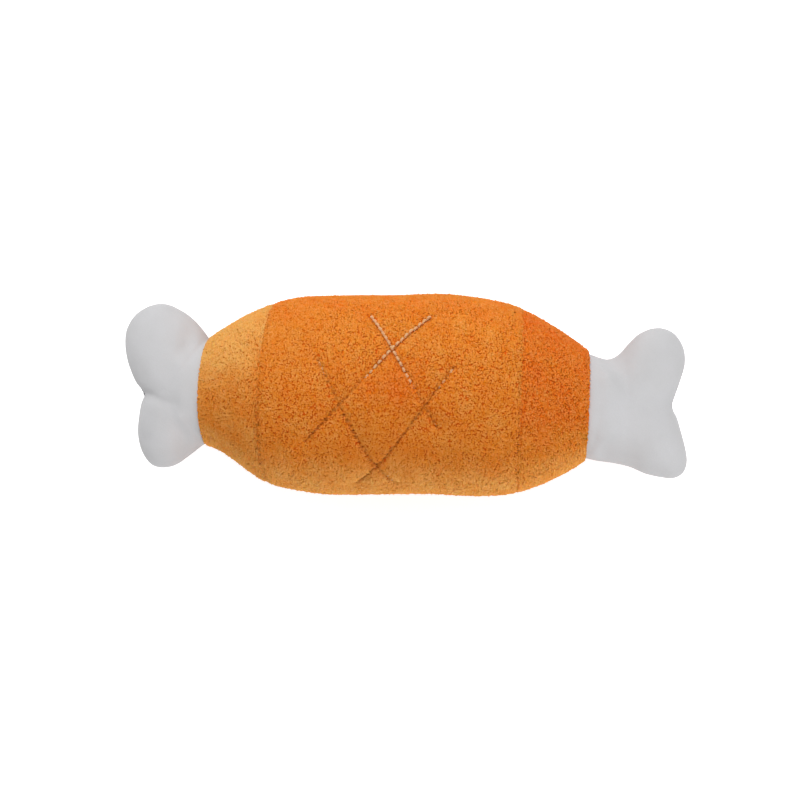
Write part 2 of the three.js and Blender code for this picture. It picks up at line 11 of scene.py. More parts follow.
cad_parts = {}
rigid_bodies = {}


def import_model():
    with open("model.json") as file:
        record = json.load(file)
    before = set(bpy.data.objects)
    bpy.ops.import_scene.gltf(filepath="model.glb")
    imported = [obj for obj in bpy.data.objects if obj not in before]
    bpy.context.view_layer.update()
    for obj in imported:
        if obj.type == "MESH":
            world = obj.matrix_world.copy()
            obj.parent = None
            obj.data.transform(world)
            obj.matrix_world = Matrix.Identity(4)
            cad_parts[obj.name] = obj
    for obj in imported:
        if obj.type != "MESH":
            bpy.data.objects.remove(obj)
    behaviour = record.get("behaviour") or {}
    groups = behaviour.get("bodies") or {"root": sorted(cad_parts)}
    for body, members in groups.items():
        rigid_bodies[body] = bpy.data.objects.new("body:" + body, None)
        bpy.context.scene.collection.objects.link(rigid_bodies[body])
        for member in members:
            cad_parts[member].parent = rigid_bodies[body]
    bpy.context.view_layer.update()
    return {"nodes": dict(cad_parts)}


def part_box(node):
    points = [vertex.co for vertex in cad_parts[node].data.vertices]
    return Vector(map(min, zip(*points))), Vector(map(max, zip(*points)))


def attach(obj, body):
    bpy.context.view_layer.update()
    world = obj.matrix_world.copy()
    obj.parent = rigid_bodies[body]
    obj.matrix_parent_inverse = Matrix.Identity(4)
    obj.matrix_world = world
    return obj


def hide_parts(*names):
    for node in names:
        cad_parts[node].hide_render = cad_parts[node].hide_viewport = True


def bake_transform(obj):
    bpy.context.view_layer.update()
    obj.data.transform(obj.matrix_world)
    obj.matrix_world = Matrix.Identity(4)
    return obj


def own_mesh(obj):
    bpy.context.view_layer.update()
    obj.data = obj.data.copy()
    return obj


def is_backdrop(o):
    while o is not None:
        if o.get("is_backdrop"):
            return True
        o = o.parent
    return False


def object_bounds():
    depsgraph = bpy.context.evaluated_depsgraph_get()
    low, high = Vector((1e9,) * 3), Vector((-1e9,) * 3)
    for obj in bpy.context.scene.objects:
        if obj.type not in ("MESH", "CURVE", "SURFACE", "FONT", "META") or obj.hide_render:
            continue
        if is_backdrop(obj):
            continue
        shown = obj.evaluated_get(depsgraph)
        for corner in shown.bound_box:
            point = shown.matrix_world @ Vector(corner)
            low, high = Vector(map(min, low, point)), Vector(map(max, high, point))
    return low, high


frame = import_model()

# Squeaker: a soft plastic capsule, blow-moulded in one with the bellows between its two shells. A hard
# whistle tube is pushed into its lower face, and holds a film reed between a half plug and a wedge.
mm = 0.001
capsule_sides = 72
capsule_wall = 1.0 * mm
capsule_round = 2.2 * mm
rib_height = 0.35 * mm
pip = capsule_wall / 4  # the moulding pip at the roof's middle
fold_wall = 0.7 * mm
fold_depth = 2.0 * mm
fold_count = 2
fold_steps = 10
whistle_wall = 0.8 * mm
whistle_gap = 0.3 * mm
flange_wall = 1.2 * mm
edge_round = 0.3 * mm
round_steps = 5
capsule_colour = (233, 236, 238)
whistle_colour = (214, 226, 236)
reed_colour = (205, 214, 222)
haze_paleness = 1.08
haze_roughness = 0.18

shell_low, shell_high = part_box("squeaker_lower_shell")
top_low, top_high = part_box("squeaker_upper_shell")
fold_low, fold_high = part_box("squeaker_folded_wall")
tube_low, tube_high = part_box("whistle_tube")
block_low, block_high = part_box("reed_block")
capsule_middle = (shell_low + shell_high) / 2
capsule_radius = (shell_high.x - shell_low.x) / 2
capsule_inside = capsule_radius - capsule_wall
whistle_flange = (tube_high.x - tube_low.x) / 2
whistle_radius = (block_high.x - block_low.x) / 2 + whistle_wall + whistle_gap
whistle_hole = whistle_radius + whistle_gap
whistle_bore = whistle_radius - whistle_wall


def paint(colour, share=1.0):
    """A screen colour, 0 to 255, as the linear colour that a shader takes, or a share of it."""
    shares = [c / 255 for c in colour]
    linear = [s / 12.92 if s <= 0.04045 else ((s + 0.055) / 1.055) ** 2.4 for s in shares]
    return tuple(min(1.0, c * share) for c in linear) + (1.0,)


def set_inputs(node, inputs):
    """Sets a node's inputs to values, or joins them to other nodes' sockets."""
    for key, value in inputs.items():
        if isinstance(value, bpy.types.NodeSocket):
            node.id_data.links.new(value, node.inputs[key])
        else:
            node.inputs[key].default_value = value


def add_node(tree, kind, inputs=None, **settings):
    made = tree.nodes.new(kind)
    for name, value in settings.items():
        setattr(made, name, value)
    set_inputs(made, inputs or {})
    return made


def add_maths(tree, operation, *values, clamp=False):
    settings = {"operation": operation, "use_clamp": clamp}
    return add_node(tree, "ShaderNodeMath", dict(enumerate(values)), **settings).outputs[0]


def add_blend(tree, share, first, second, kind="MIX"):
    """A colour between two, by a share from 0 to 1."""
    inputs = {0: share, 6: first, 7: second}
    return add_node(tree, "ShaderNodeMix", inputs, data_type="RGBA", blend_type=kind).outputs[2]


def own_place(tree):
    return add_node(tree, "ShaderNodeTexCoord").outputs["Object"]


def add_noise(tree, scale, detail, place=None, output="Fac", **more):
    """Noise over the object's own places, unless others are given. Its scale is in waves a metre."""
    inputs = {"Vector": own_place(tree) if place is None else place, "Scale": scale, "Detail": detail, **more}
    return add_node(tree, "ShaderNodeTexNoise", inputs).outputs[output]


def add_bump(tree, height, strength, distance):
    inputs = {"Height": height, "Strength": strength, "Distance": distance}
    return add_node(tree, "ShaderNodeBump", inputs).outputs["Normal"]


def new_material(name):
    """A material with one Principled shader. Returns it with its tree."""
    material = bpy.data.materials.new(name)
    material.use_nodes = True
    return material, material.node_tree


def give_looks(material, looks):
    """Sets the inputs of a material's Principled shader, and returns the material."""
    set_inputs(material.node_tree.nodes["Principled BSDF"], looks)
    return material


def show(name, data):
    """A new object in the scene, made of a mesh, a lamp or a camera."""
    made = bpy.data.objects.new(name, data)
    bpy.context.scene.collection.objects.link(made)
    return made


def stand_for(node):
    """Hides one of the part's solids, which a piece stands in for."""
    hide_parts(node)


def make_piece(name, points, faces, material):
    """A closed, smooth mesh at the origin, its faces turned outwards."""
    mesh = bpy.data.meshes.new(name)
    mesh.from_pydata([tuple(p) for p in points], [], faces)
    mesh.validate()
    mesh.calc_loop_triangles()
    corners = np.array([[tuple(mesh.vertices[v].co) for v in t.vertices] for t in mesh.loop_triangles])
    if np.linalg.det(corners).sum() < 0:
        mesh.flip_normals()
    mesh.shade_smooth()
    mesh.materials.append(material)
    return show(name, mesh)


def ring_faces(rows, columns, is_closed):
    """Quads between rings of points, and from the last ring back to the first where the section is closed."""
    faces = []
    for row in range(rows if is_closed else rows - 1):
        here, there = row * columns, (row + 1) % rows * columns
        for i in range(columns):
            k = (i + 1) % columns
            faces.append((here + i, here + k, there + k, there + i))
    return faces


def rounded(outline):
    """A closed outline with each corner cut to a small arc."""
    made = []
    for i, corner in enumerate(outline):
        here, before, after = (Vector(p) for p in (corner, outline[i - 1], outline[(i + 1) % len(outline)]))
        reach = min(edge_round, (before - here).length / 2, (after - here).length / 2)
        start = here + (before - here).normalized() * reach
        end = here + (after - here).normalized() * reach
        for t in np.linspace(0, 1, round_steps):
            made.append(tuple(start.lerp(here, t).lerp(here.lerp(end, t), t)))
    return made


def turned_piece(name, outline, material):
    """A ring turned about the capsule's upright axis from a closed outline of (radius, height) points."""
    turns = np.linspace(0, 2 * np.pi, capsule_sides, endpoint=False)
    radius, height = np.array(outline).T
    x = capsule_middle.x + radius[:, None] * np.cos(turns)
    y = capsule_middle.y + radius[:, None] * np.sin(turns)
    points = np.stack([x, y, np.repeat(height[:, None], capsule_sides, axis=1)], axis=-1)
    return make_piece(name, points.reshape(-1, 3), ring_faces(len(outline), capsule_sides, True), material)


def moulded_plastic(name, colour, roughness, clarity):
    """Plastic with a faint uneven haze, as thin moulded polyethylene has."""
    material, tree = new_material(name)
    haze = add_noise(tree, scale=160.0, detail=3.0)
    ripple = add_noise(tree, scale=420.0, detail=2.0)
    looks = {
        "Base Color": add_blend(tree, haze, paint(colour), paint(colour, haze_paleness)),
        "Roughness": add_maths(tree, "MULTIPLY_ADD", haze, haze_roughness, roughness - haze_roughness / 2),
        "Normal": add_bump(tree, ripple, strength=0.12, distance=0.2 * mm),
        "Subsurface Weight": clarity,
        "Subsurface Radius": (2 * mm, 2 * mm, 2 * mm),
    }
    return give_looks(material, looks)


def cup_side(face, rim, inwards):
    """A shell's side, from its face out to its rim and back inside, as (radius, height) points."""
    return [
        (capsule_radius, face + inwards * capsule_round),
        (capsule_radius, rim),
        (capsule_inside, rim),
        (capsule_inside, face + inwards * capsule_round),
        (capsule_inside - capsule_round / 2, face + inwards * (capsule_wall + rib_height)),
    ]


def bellows_outline(wall):
    """The folded wall from its foot to its head, inside by a wall, as (radius, height) points."""
    heights = np.linspace(fold_low.z, fold_high.z, 2 * fold_count * fold_steps + 1)
    phase = (heights - fold_low.z) / (fold_high.z - fold_low.z) * fold_count
    radius = capsule_radius - wall - fold_depth * (1 - np.cos(2 * np.pi * phase)) / 2
    return list(zip(radius, heights))


capsule_plastic = moulded_plastic("capsule_plastic", capsule_colour, roughness=0.45, clarity=0.15)
whistle_plastic = moulded_plastic("whistle_plastic", whistle_colour, roughness=0.3, clarity=0.05)
reed_film = moulded_plastic("reed_film", reed_colour, roughness=0.2, clarity=0.0)

lower_outline = [
    (whistle_hole, shell_low.z),
    (whistle_hole + 4 * rib_height, shell_low.z),
    (whistle_hole + 5 * rib_height, shell_low.z + rib_height),
    (capsule_radius - capsule_round, shell_low.z + rib_height),
    *cup_side(shell_low.z, shell_high.z, 1),
    (whistle_hole, shell_low.z + capsule_wall),
]
upper_outline = [
    (pip / 4, top_high.z),
    (pip, top_high.z - rib_height),
    (capsule_inside / 3, top_high.z - rib_height),
    (capsule_inside / 3 + rib_height, top_high.z),
    (capsule_radius - capsule_round, top_high.z),
    *cup_side(top_high.z, top_low.z, -1),
    (pip / 4, top_high.z - capsule_wall - rib_height),
]
tube_outline = [
    (whistle_bore, tube_low.z),
    (whistle_flange, tube_low.z),
    (whistle_flange, tube_low.z + flange_wall),
    (whistle_radius, tube_low.z + flange_wall),
    (whistle_radius, tube_high.z - 2 * whistle_wall),
    (whistle_radius - whistle_wall / 2, tube_high.z),
    (whistle_bore, tube_high.z),
]
for name, outline, plastic, body, node, slot in (
    ("squeaker_lower_cup", lower_outline, capsule_plastic, "toy_body", "squeaker_lower_shell", "capsule"),
    ("squeaker_upper_cup", upper_outline, capsule_plastic, "squeaker_top", "squeaker_upper_shell", "capsule"),
    ("whistle_pipe", tube_outline, whistle_plastic, "toy_body", "whistle_tube", "whistle"),
):
    piece = turned_piece(name, rounded(outline), plastic)
    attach(piece, body)
    stand_for(node)

bellows_sides = bellows_outline(0.0) + bellows_outline(fold_wall)[::-1]
bellows = turned_piece("squeaker_bellows", bellows_sides, capsule_plastic)
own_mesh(bellows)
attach(bellows, "toy_body")
stand_for("squeaker_folded_wall")

for node, plastic in (("reed_block", whistle_plastic), ("reed_wedge", whistle_plastic), ("reed", reed_film)):
    kept = frame["nodes"][node]
    kept.data.materials.clear()
    kept.data.materials.append(plastic)

# Stuffing: loose white polyester fibre, teased apart and pushed in by hand in wads. It fills the barrel
# round the squeaker and both knobs, and is only held by the cloth.
wad_voxel = 1.6 * mm
wad_shrink = 0.4 * mm
wad_tufts = 0.5 * mm
tuft_lump = 5.0 * mm
tuft_waves = (6.1, 3.7, 1.3)  # two counts of waves in a lump, and how far the second is shifted
fibre_colour = (240, 239, 233)
fibre_shade = (205, 203, 196)
strand_bend = (0.03, 0.03, 0.03)
sides = (("left", -1), ("right", 1))

low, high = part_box("middle_sleeve")
barrel_x = (low.x + high.x) / 2
cover_radius = (high.y - low.y) / 2
low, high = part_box("right_neck_seam_thread")
axis_z = (low.z + high.z) / 2
ring_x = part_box("right_end_panel")[1].x - barrel_x
panel_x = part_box("right_end_panel")[0].x - barrel_x


def add_vector(tree, operation, first, second=None):
    """Vector arithmetic. A scale takes its second value as a plain number."""
    inputs = {0: first}
    if second is not None:
        inputs[3 if operation == "SCALE" else 1] = second
    return add_node(tree, "ShaderNodeVectorMath", inputs, operation=operation).outputs[0]


def fibre_fill():
    """White fibre: fine strands running every way, with deeper shade between the tufts."""
    material, tree = new_material("fibre_fill")
    bend = add_noise(tree, scale=90.0, detail=2.0, output="Color")
    moved = add_vector(tree, "ADD", own_place(tree), add_vector(tree, "MULTIPLY", bend, strand_bend))
    strands = add_noise(tree, scale=1400.0, detail=4.0, place=moved, Distortion=2.0)
    looks = {
        "Base Color": add_blend(tree, strands, paint(fibre_shade), paint(fibre_colour)),
        "Normal": add_bump(tree, strands, strength=0.6, distance=0.4 * mm),
        "Roughness": 0.95,
        "Sheen Weight": 0.3,
    }
    return give_looks(material, looks)


fibre = fibre_fill()


def settle(piece):
    """Turns what the modifiers make of a piece into its own plain mesh."""
    graph = bpy.context.evaluated_depsgraph_get()
    shaped = piece.evaluated_get(graph)
    made = bpy.data.meshes.new_from_object(shaped, preserve_all_data_layers=True, depsgraph=graph)
    piece.modifiers.clear()
    piece.data = made


def wad_piece(name, node):
    """A wad of fibre in the space of its solid: remeshed evenly, drawn in a little, and tufted."""
    piece = show(name, frame["nodes"][node].data.copy())
    piece.modifiers.new("weld", "WELD").merge_threshold = mm / 100
    remesh = piece.modifiers.new("remesh", "REMESH")
    remesh.mode = "VOXEL"
    remesh.voxel_size = wad_voxel
    remesh.use_smooth_shade = True
    piece.modifiers.new("smooth", "SMOOTH").iterations = 4
    settle(piece)
    mesh = piece.data
    place, normal = np.zeros((2, 3 * len(mesh.vertices)))
    mesh.vertices.foreach_get("co", place)
    mesh.vertex_normals.foreach_get("vector", normal)
    place, normal = place.reshape(-1, 3), normal.reshape(-1, 3)
    first, second, shift = tuft_waves
    waves = np.sin(place / tuft_lump * first) + np.sin(place[:, [1, 2, 0]] / tuft_lump * second + shift)
    lump = waves.prod(axis=1) / 8  # from -1 to 1
    place -= normal * (wad_shrink + wad_tufts * (0.5 + 0.5 * lump))[:, None]
    mesh.vertices.foreach_set("co", place.ravel())
    mesh.update()
    mesh.materials.clear()
    mesh.materials.append(fibre)
    stand_for(node)
    return piece


def give_way(piece, side=0):
    """Bakes a piece's place into its mesh, whatever its side. Side is -1 or 1 for a piece of that end's
    panel.
    """
    if side == 0:
        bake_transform(piece)
        return
    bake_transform(piece)


give_way(wad_piece("front_stuffing", "front_filling"))
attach(wad_piece("rear_stuffing", "rear_filling"), "toy_body")
for side, sign in sides:
    give_way(wad_piece(f"{side}_end_stuffing", f"{side}_end_filling"), sign)
    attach(wad_piece(f"{side}_neck_stuffing", f"{side}_neck_wad"), f"{side}_neck")

# Orange cover, middle sleeve: a strip of plush rolled into a barrel, with its pile outside. Both ends are
# turned in by an allowance, and the four scored lines are sewn through it before it is rolled.
seam_radius = 34.6 * mm
ring_radius = 20.7 * mm
barrel_power = 5
end_bulge = 1.1 * mm
bow_reach = 1.9 * mm  # the barrel bows a little towards its upper side
bow_x = 15 * mm
bow_half = 27 * mm
lump_height = 0.35 * mm
lump_length = 21 * mm
lump_fade = 20 * mm
lump_waves = [(2.1, 3, 0.4), (3.7, -2, 1.9), (1.3, 5, 4.0), (5.1, 1, 2.6)]  # turns along, round, and phase
pile_stand = 0.9 * mm  # how far the pile's tips stand over the backing
backing_wall = 0.9 * mm
allowance_depth = 4.0 * mm
allowance_wall = 1.2 * mm
seam_gap = 0.04 * mm
valley_depth = 0.36 * mm
right_valley_share = 0.6
valley_width = 1.2 * mm
flat_depth = 2.2 * mm  # how much flatter the left panel is on its lower side
flat_band = (0.2, 0.9)  # from and to how far down the front it sets in, as a share of the radius
slack_depth = 0.7 * mm  # how much less the barrel's lower side is filled
slack_band = (0.6, 1.0)
slack_fade = (4 * mm, 20 * mm)
closing_turn = math.pi - math.radians(38)  # round from the crown, on the far side
closing_depth = 1.0 * mm
floor_pile = 0.6 * mm  # what the pile is pressed to under the toy
least_cosine = 0.1  # keeps the floor's limit finite beside the toy
skin_step = 0.6 * mm
sleeve_columns = 384
inner_rows = 44

stitch_pitch = 2.3 * mm
groove_depth = 0.38 * mm
groove_width = 1.0 * mm
draw_depth = 1.0 * mm  # how far the stuffing is drawn in on each side of a line
draw_width = 4.5 * mm
inner_power = 1.65  # how much sooner the drawn-in sides run out on the inner face
needle_depth = 0.9 * mm
needle_width = 0.72 * mm
hole_shade = 0.85
groove_shade = 0.14
shade_band = (-5 * mm, 7 * mm)  # from and to how far down the front a line's shade sets in

# Each scored line's middle on the unrolled sleeve, its lean from straight round the barrel, its half
# length, how far up the barrel its thread comes out of the pile, how much deeper than the others it lies,
# and how strong the painted shade at its needle holes and groove is on the upper side.
score_places = [
    ("falling_score_thread_1", (4.7, 11.7), 30.5, 25.3, 7.0, 0.1, 0.1),
    ("falling_score_thread_2", (-11.7, -13.5), 26.5, 30.3, 4.0, 1.85, 0.6),
    ("rising_score_thread_1", (-7.6, 8.0), -39.4, 33.3, 9.0, 0.25, 0.1),
    ("rising_score_thread_2", (5.5, -14.3), -32.9, 31.3, 0.0, 1.75, 0.9),
]
scored_lines = []
for name, middle, lean, half, shown, sunk, shade in score_places:
    way = np.array([math.sin(math.radians(lean)), -math.cos(math.radians(lean))])
    scored_lines.append((name, np.array(middle) * mm, way, half * mm, shown * mm, sunk * mm, shade))

# Painted light and shade, by how the pile lies over each panel's front: a start, then changes as an amount,
# +1 or -1 for up or down the front, from and to how many mm off the middle it sets in, and its share by
# the panel's seam.
lay_shading_start = {"sleeve": 0.5, "left": 0.6, "right": 0.22}
lay_shading_changes = {
    "sleeve": [(0.36, -1, 18, 34, 1.0), (-0.18, 1, 24, 36, 1.0)],
    "left": [(0.56, 1, -4, 26, 0.5), (0.2, -1, 18, 34, 1.0)],
    "right": [(0.22, -1, 6, 20, 1.0), (0.3, -1, 18, 34, 1.0), (-0.18, 1, 24, 36, 1.0)],
}
lay_shading_patches = 0.12
patch_length = 8 * mm
seam_reach = 14 * mm
# A patch of painted shade, deep orange: along, up, its half width and strength.
painted_shade_patch = (3 * mm, 5 * mm, 8 * mm, 0.32)  # a deep orange place: along, up, its half width and strength
front_band = (-0.2, 0.3)  # from and to which height over the axis, as a share, the front sets in
nap_ways = {"left": (-0.85, -0.15), "right": (0.25, 0.0)}  # along the toy and round it
sleeve_nap = 0.25  # along the toy, by its upper side
sleeve_nap_band = (18 * mm, 32 * mm)
combed_band = (8 * mm, 30 * mm)  # from and to how far down the front the sleeve's pile is combed
combed_turns = (-0.4, 0.2)
groove_wear = 0.1  # how much shorter the pile is in a groove, and at a needle hole
needle_wear = 0.3
ring_pile = 0.7  # how long the pile is at a ring's edge, as a share
ring_fade = 0.8 * mm
tallest_tuft = 1.25 * mm
floor_reach = 0.2  # from how far under the axis, as a share, the floor presses on the pile
# The ring seams' needle holes are painted shade only: count, widths, strengths, band, loss and unevenness.
seam_pits = 91  # needle holes round a ring seam
seam_pit_widths = (0.95 * mm, 0.65 * mm)  # on the left and on the right
seam_pit_shades = (0.42, 0.16)
seam_shade_band = (-6 * mm, 8 * mm)
upper_seam_loss = 0.7  # how much less the left seam's holes show on the upper side
pit_wander = 1.5  # how unevenly they are spaced
wander_waves = (7, 17)  # round the toy


def hump(distance, width):
    return np.exp(-((distance / width) ** 2))


def soft_step(value, start, end):
    t = np.clip((value - start) / (end - start), 0, 1)
    return t * t * (3 - 2 * t)


def score_shares(x, turn):
    """As shares, how near each place is to a scored line's groove, drawn-in sides, needle holes and shade."""
    place = np.stack([x, turn * cover_radius], axis=-1)
    groove, draw, needle, dark = (np.zeros(x.shape) for _ in range(4))
    lower = soft_step(-place[..., 1], *shade_band)
    for _, middle, along, half, _, _, shade in scored_lines:
        run = (place - middle) @ along
        across = (place - middle) @ np.array([-along[1], along[0]])
        distance = np.hypot(across, np.maximum(np.abs(run) - half, 0))
        to_hole = np.abs((run + half) / stitch_pitch - np.round((run + half) / stitch_pitch)) * stitch_pitch
        hole = hump(np.hypot(distance, to_hole), needle_width)
        groove = np.maximum(groove, hump(distance, groove_width))
        draw = 1 - (1 - draw) * (1 - hump(distance, draw_width))
        needle = np.maximum(needle, hole)
        # Painted shade at the needle holes and in the groove, stronger down the front.
        line = np.maximum(hole_shade * hole, groove_shade * hump(distance, groove_width))
        dark = np.maximum(dark, line * np.maximum(lower, shade))
    return groove, draw, needle, dark


def tips_radius(x):
    """How far the pile's tips stand from the barrel's own middle line."""
    out = np.abs(x)
    barrel = seam_radius + (cover_radius - seam_radius) * (1 - (out / panel_x) ** barrel_power)
    share = np.clip((out - panel_x) / (ring_x - panel_x), 0, 1)
    taper = seam_radius + (ring_radius - seam_radius) * share + 4 * end_bulge * share * (1 - share)
    return np.where(out <= panel_x, barrel, taper)


def backing_radius(x, turn, is_inner=False):
    """How far the cloth's backing stands from the axis, with its lumps, seams and scored lines. Its inner
    face is made of fewer rows, so it keeps wide and clear of the narrow grooves."""
    x, turn = np.broadcast_arrays(np.asarray(x, float), np.asarray(turn, float))
    bow = bow_reach * hump(x - bow_x, bow_half)
    radius = bow * np.sin(turn) + np.sqrt(tips_radius(x) ** 2 - (bow * np.cos(turn)) ** 2) - pile_stand
    lump = sum(np.sin(along * x / lump_length + around * turn + phase) for along, around, phase in lump_waves)
    from_ring = ring_x - np.abs(x)
    radius += lump_height * lump / len(lump_waves) * soft_step(from_ring, 0, lump_fade)
    radius -= valley_depth * hump(np.abs(x) - panel_x, valley_width) * np.where(x < 0, 1, right_valley_share)
    share = np.clip((-x - panel_x) / (ring_x - panel_x), 0, 1)
    flat = 27 / 4 * share**2 * (1 - share)  # 1 at its most
    radius -= flat * flat_depth * soft_step(-np.sin(turn), *flat_band)
    radius -= slack_depth * soft_step(-np.sin(turn), *slack_band) * soft_step(from_ring, *slack_fade)
    groove, draw, needle, _ = score_shares(x, turn)
    if is_inner:
        radius -= (groove_depth + draw_depth + needle_depth) * draw**inner_power
    else:
        radius -= groove_depth * groove + draw_depth * draw + needle_depth * needle
    closing = np.abs(turn - closing_turn) * cover_radius
    radius -= closing_depth * hump(closing, groove_width) * (np.abs(x) < panel_x)
    return np.minimum(radius, (axis_z - floor_pile) / np.maximum(-np.cos(turn), least_cosine))


def ring_ways(turns):
    """The way outwards and the way round the barrel, at turns from its crown."""
    along = np.zeros(turns.shape)
    out = np.stack([along, np.sin(turns), np.cos(turns)], axis=-1)
    return out, np.stack([along, np.cos(turns), -np.sin(turns)], axis=-1)


def cloth_tube(name, outside, stations, columns, material):
    """A closed tube of backing cloth: fine rows outside, then the turned-in edges and a plain inner face."""
    x = np.concatenate([outside, [s[0] for s in stations]])[:, None]
    depth = np.concatenate([np.zeros(len(outside)), [s[1] for s in stations]])[:, None]
    turns = np.linspace(-np.pi, np.pi, columns, endpoint=False)
    inner = backing_radius(x, turns, is_inner=True)
    radius = np.where(depth > 0, inner, backing_radius(x, turns)) - depth
    along = np.repeat(barrel_x + x, columns, axis=1)
    points = np.stack([along, radius * np.sin(turns), axis_z + radius * np.cos(turns)], axis=-1)
    return make_piece(name, points.reshape(-1, 3), ring_faces(len(x), columns, True), material), turns


def allowance(edge, inwards):
    """The (x, depth) stations of a seam's turned-in edge, from the outer face down and back up inside."""
    return [
        (edge, allowance_wall / 2),
        (edge, allowance_depth),
        (edge + inwards * allowance_wall, allowance_depth),
        (edge + inwards * allowance_wall, backing_wall),
    ]


def store(mesh, name, values):
    """Stores one value or vector a point on a mesh."""
    values = np.asarray(values, np.float32)
    is_vector = values.size == 3 * len(mesh.vertices)
    attribute = mesh.attributes.new(name, "FLOAT_VECTOR" if is_vector else "FLOAT", "POINT")
    attribute.data.foreach_set("vector" if is_vector else "value", values.ravel())


def lay_shading_of(x, turn, panel):
    """Painted light and shade by how the pile lies to the light: 0 stands away and is deep orange, 1 lies
    towards it and is pale.
    """
    y = cover_radius * np.sin(turn)
    waves = sum(
        np.sin(along * x / patch_length + around * turn * 3 + phase) for along, around, phase in lump_waves
    )
    painted_lay = lay_shading_start[panel] + lay_shading_patches * waves / len(lump_waves)
    front = soft_step(np.cos(turn), *front_band)
    for amount, way, start, end, by_seam in lay_shading_changes[panel]:
        share = by_seam + (1 - by_seam) * soft_step(np.abs(x) - panel_x, 0, seam_reach)
        painted_lay = painted_lay + front * amount * soft_step(way * y, start * mm, end * mm) * share
    # A patch of painted shade, deep orange.
    patch_x, patch_y, patch_half, strength = painted_shade_patch
    painted_lay = painted_lay - front * strength * hump(np.hypot(x - patch_x, y - patch_y), patch_half)
    return np.clip(painted_lay, 0, 1)


def dress(piece, x, turns, panel):
    """Stores how a cloth's pile grows and lies, and its painted light and shade. Points past those of x are
    inside.
    """
    x, turn = np.meshgrid(x, turns, indexing="ij")
    y = cover_radius * np.sin(turn)
    groove, _, needle, dark = score_shares(x, turn)
    ring = soft_step(ring_x - np.abs(x), 0, ring_fade)
    pile = (1 - groove_wear * groove - needle_wear * needle) * (ring_pile + (1 - ring_pile) * ring)
    under = -np.cos(turn)
    room = axis_z - backing_radius(x, turn) * under
    pressed = np.minimum(pile, room / (np.maximum(under, floor_reach) * tallest_tuft))
    pile = np.where(under > floor_reach, pressed, pile)
    combed = soft_step(-y, *combed_band) * soft_step(np.cos(turn), *combed_turns)
    along, around = nap_ways.get(panel, (sleeve_nap * soft_step(y, *sleeve_nap_band), -combed))
    nap = np.asarray(around)[..., None] * ring_ways(turn)[1]
    nap[..., 0] += along
    # Painted shade at the seams' needle holes, unevenly spaced round the ring.
    few, many = wander_waves
    wander = np.sin(few * turn) + np.sin(many * turn + 1)
    holes = 0.5 + 0.5 * np.sin(turn * seam_pits + pit_wander * wander)
    is_left = x < 0
    shade = np.where(is_left, 1 - upper_seam_loss * (1 - soft_step(-y, *seam_shade_band)), 1)
    seam = hump(np.abs(x) - panel_x, np.where(is_left, *seam_pit_widths))
    seam *= holes * shade * np.where(is_left, *seam_pit_shades)
    stored = {
        "pile": np.clip(pile, 0.1, 1),
        "nap": nap,
        "painted_lay": lay_shading_of(x, turn, panel),
        "painted_pit_shade": np.maximum(dark, seam),
        "grows": np.ones(x.shape),
        "combed": combed,
    }
    inner_count = len(piece.data.vertices) - x.size
    for name, values in stored.items():
        values = values.reshape(x.size, -1)
        store(piece.data, name, np.concatenate([values, np.zeros((inner_count, values.shape[1]))]))


plush_colours = {
    # Painted shade at needle holes, in grooves and at the seams.
    "Hole_shade": (112, 44, 8),
    # Painted shade deep in the pile: each tuft is darker towards its root.
    "Root": (186, 77, 10),
    "Deep": (247, 100, 5),
    "Orange": (246, 128, 29),
    "Pale": (255, 165, 82),
    "Tip": (215, 100, 66),  # what the light that comes through a tip adds to its colour
}
plush_sheen = (255, 165, 80)
backing_colour = (234, 103, 22)
pile_softness = 0.82
grain_strength = 0.22
tuft_spacing = 0.47 * mm
tuft_length = 1.35 * mm
tuft_width = 1.32 * mm
tuft_seed = 7
nap_lean = 1.1
curl_reach = 2.7
curl_scale = 700.0
noise_middle = (0.5, 0.5, 0.5)
swirl_stretches = ((0.6, 1.2, 1.2), (1.5, 0.6, 0.6))  # of the curls in standing and in combed pile


def new_tree(name, kind, inputs, output, output_kind):
    """A node tree with inputs, given as the kind of each name, and one output. Returns it with its inputs."""
    tree = bpy.data.node_groups.new(name, kind)
    for socket, socket_kind in inputs.items():
        tree.interface.new_socket(socket, in_out="INPUT", socket_type=f"NodeSocket{socket_kind}")
    tree.interface.new_socket(output, in_out="OUTPUT", socket_type=f"NodeSocket{output_kind}")
    return tree, add_node(tree, "NodeGroupInput").outputs


def read_point(tree, name, output="Fac"):
    """A value stored on the mesh's points, read by a shader."""
    return add_node(tree, "ShaderNodeAttribute", attribute_name=name).outputs[output]


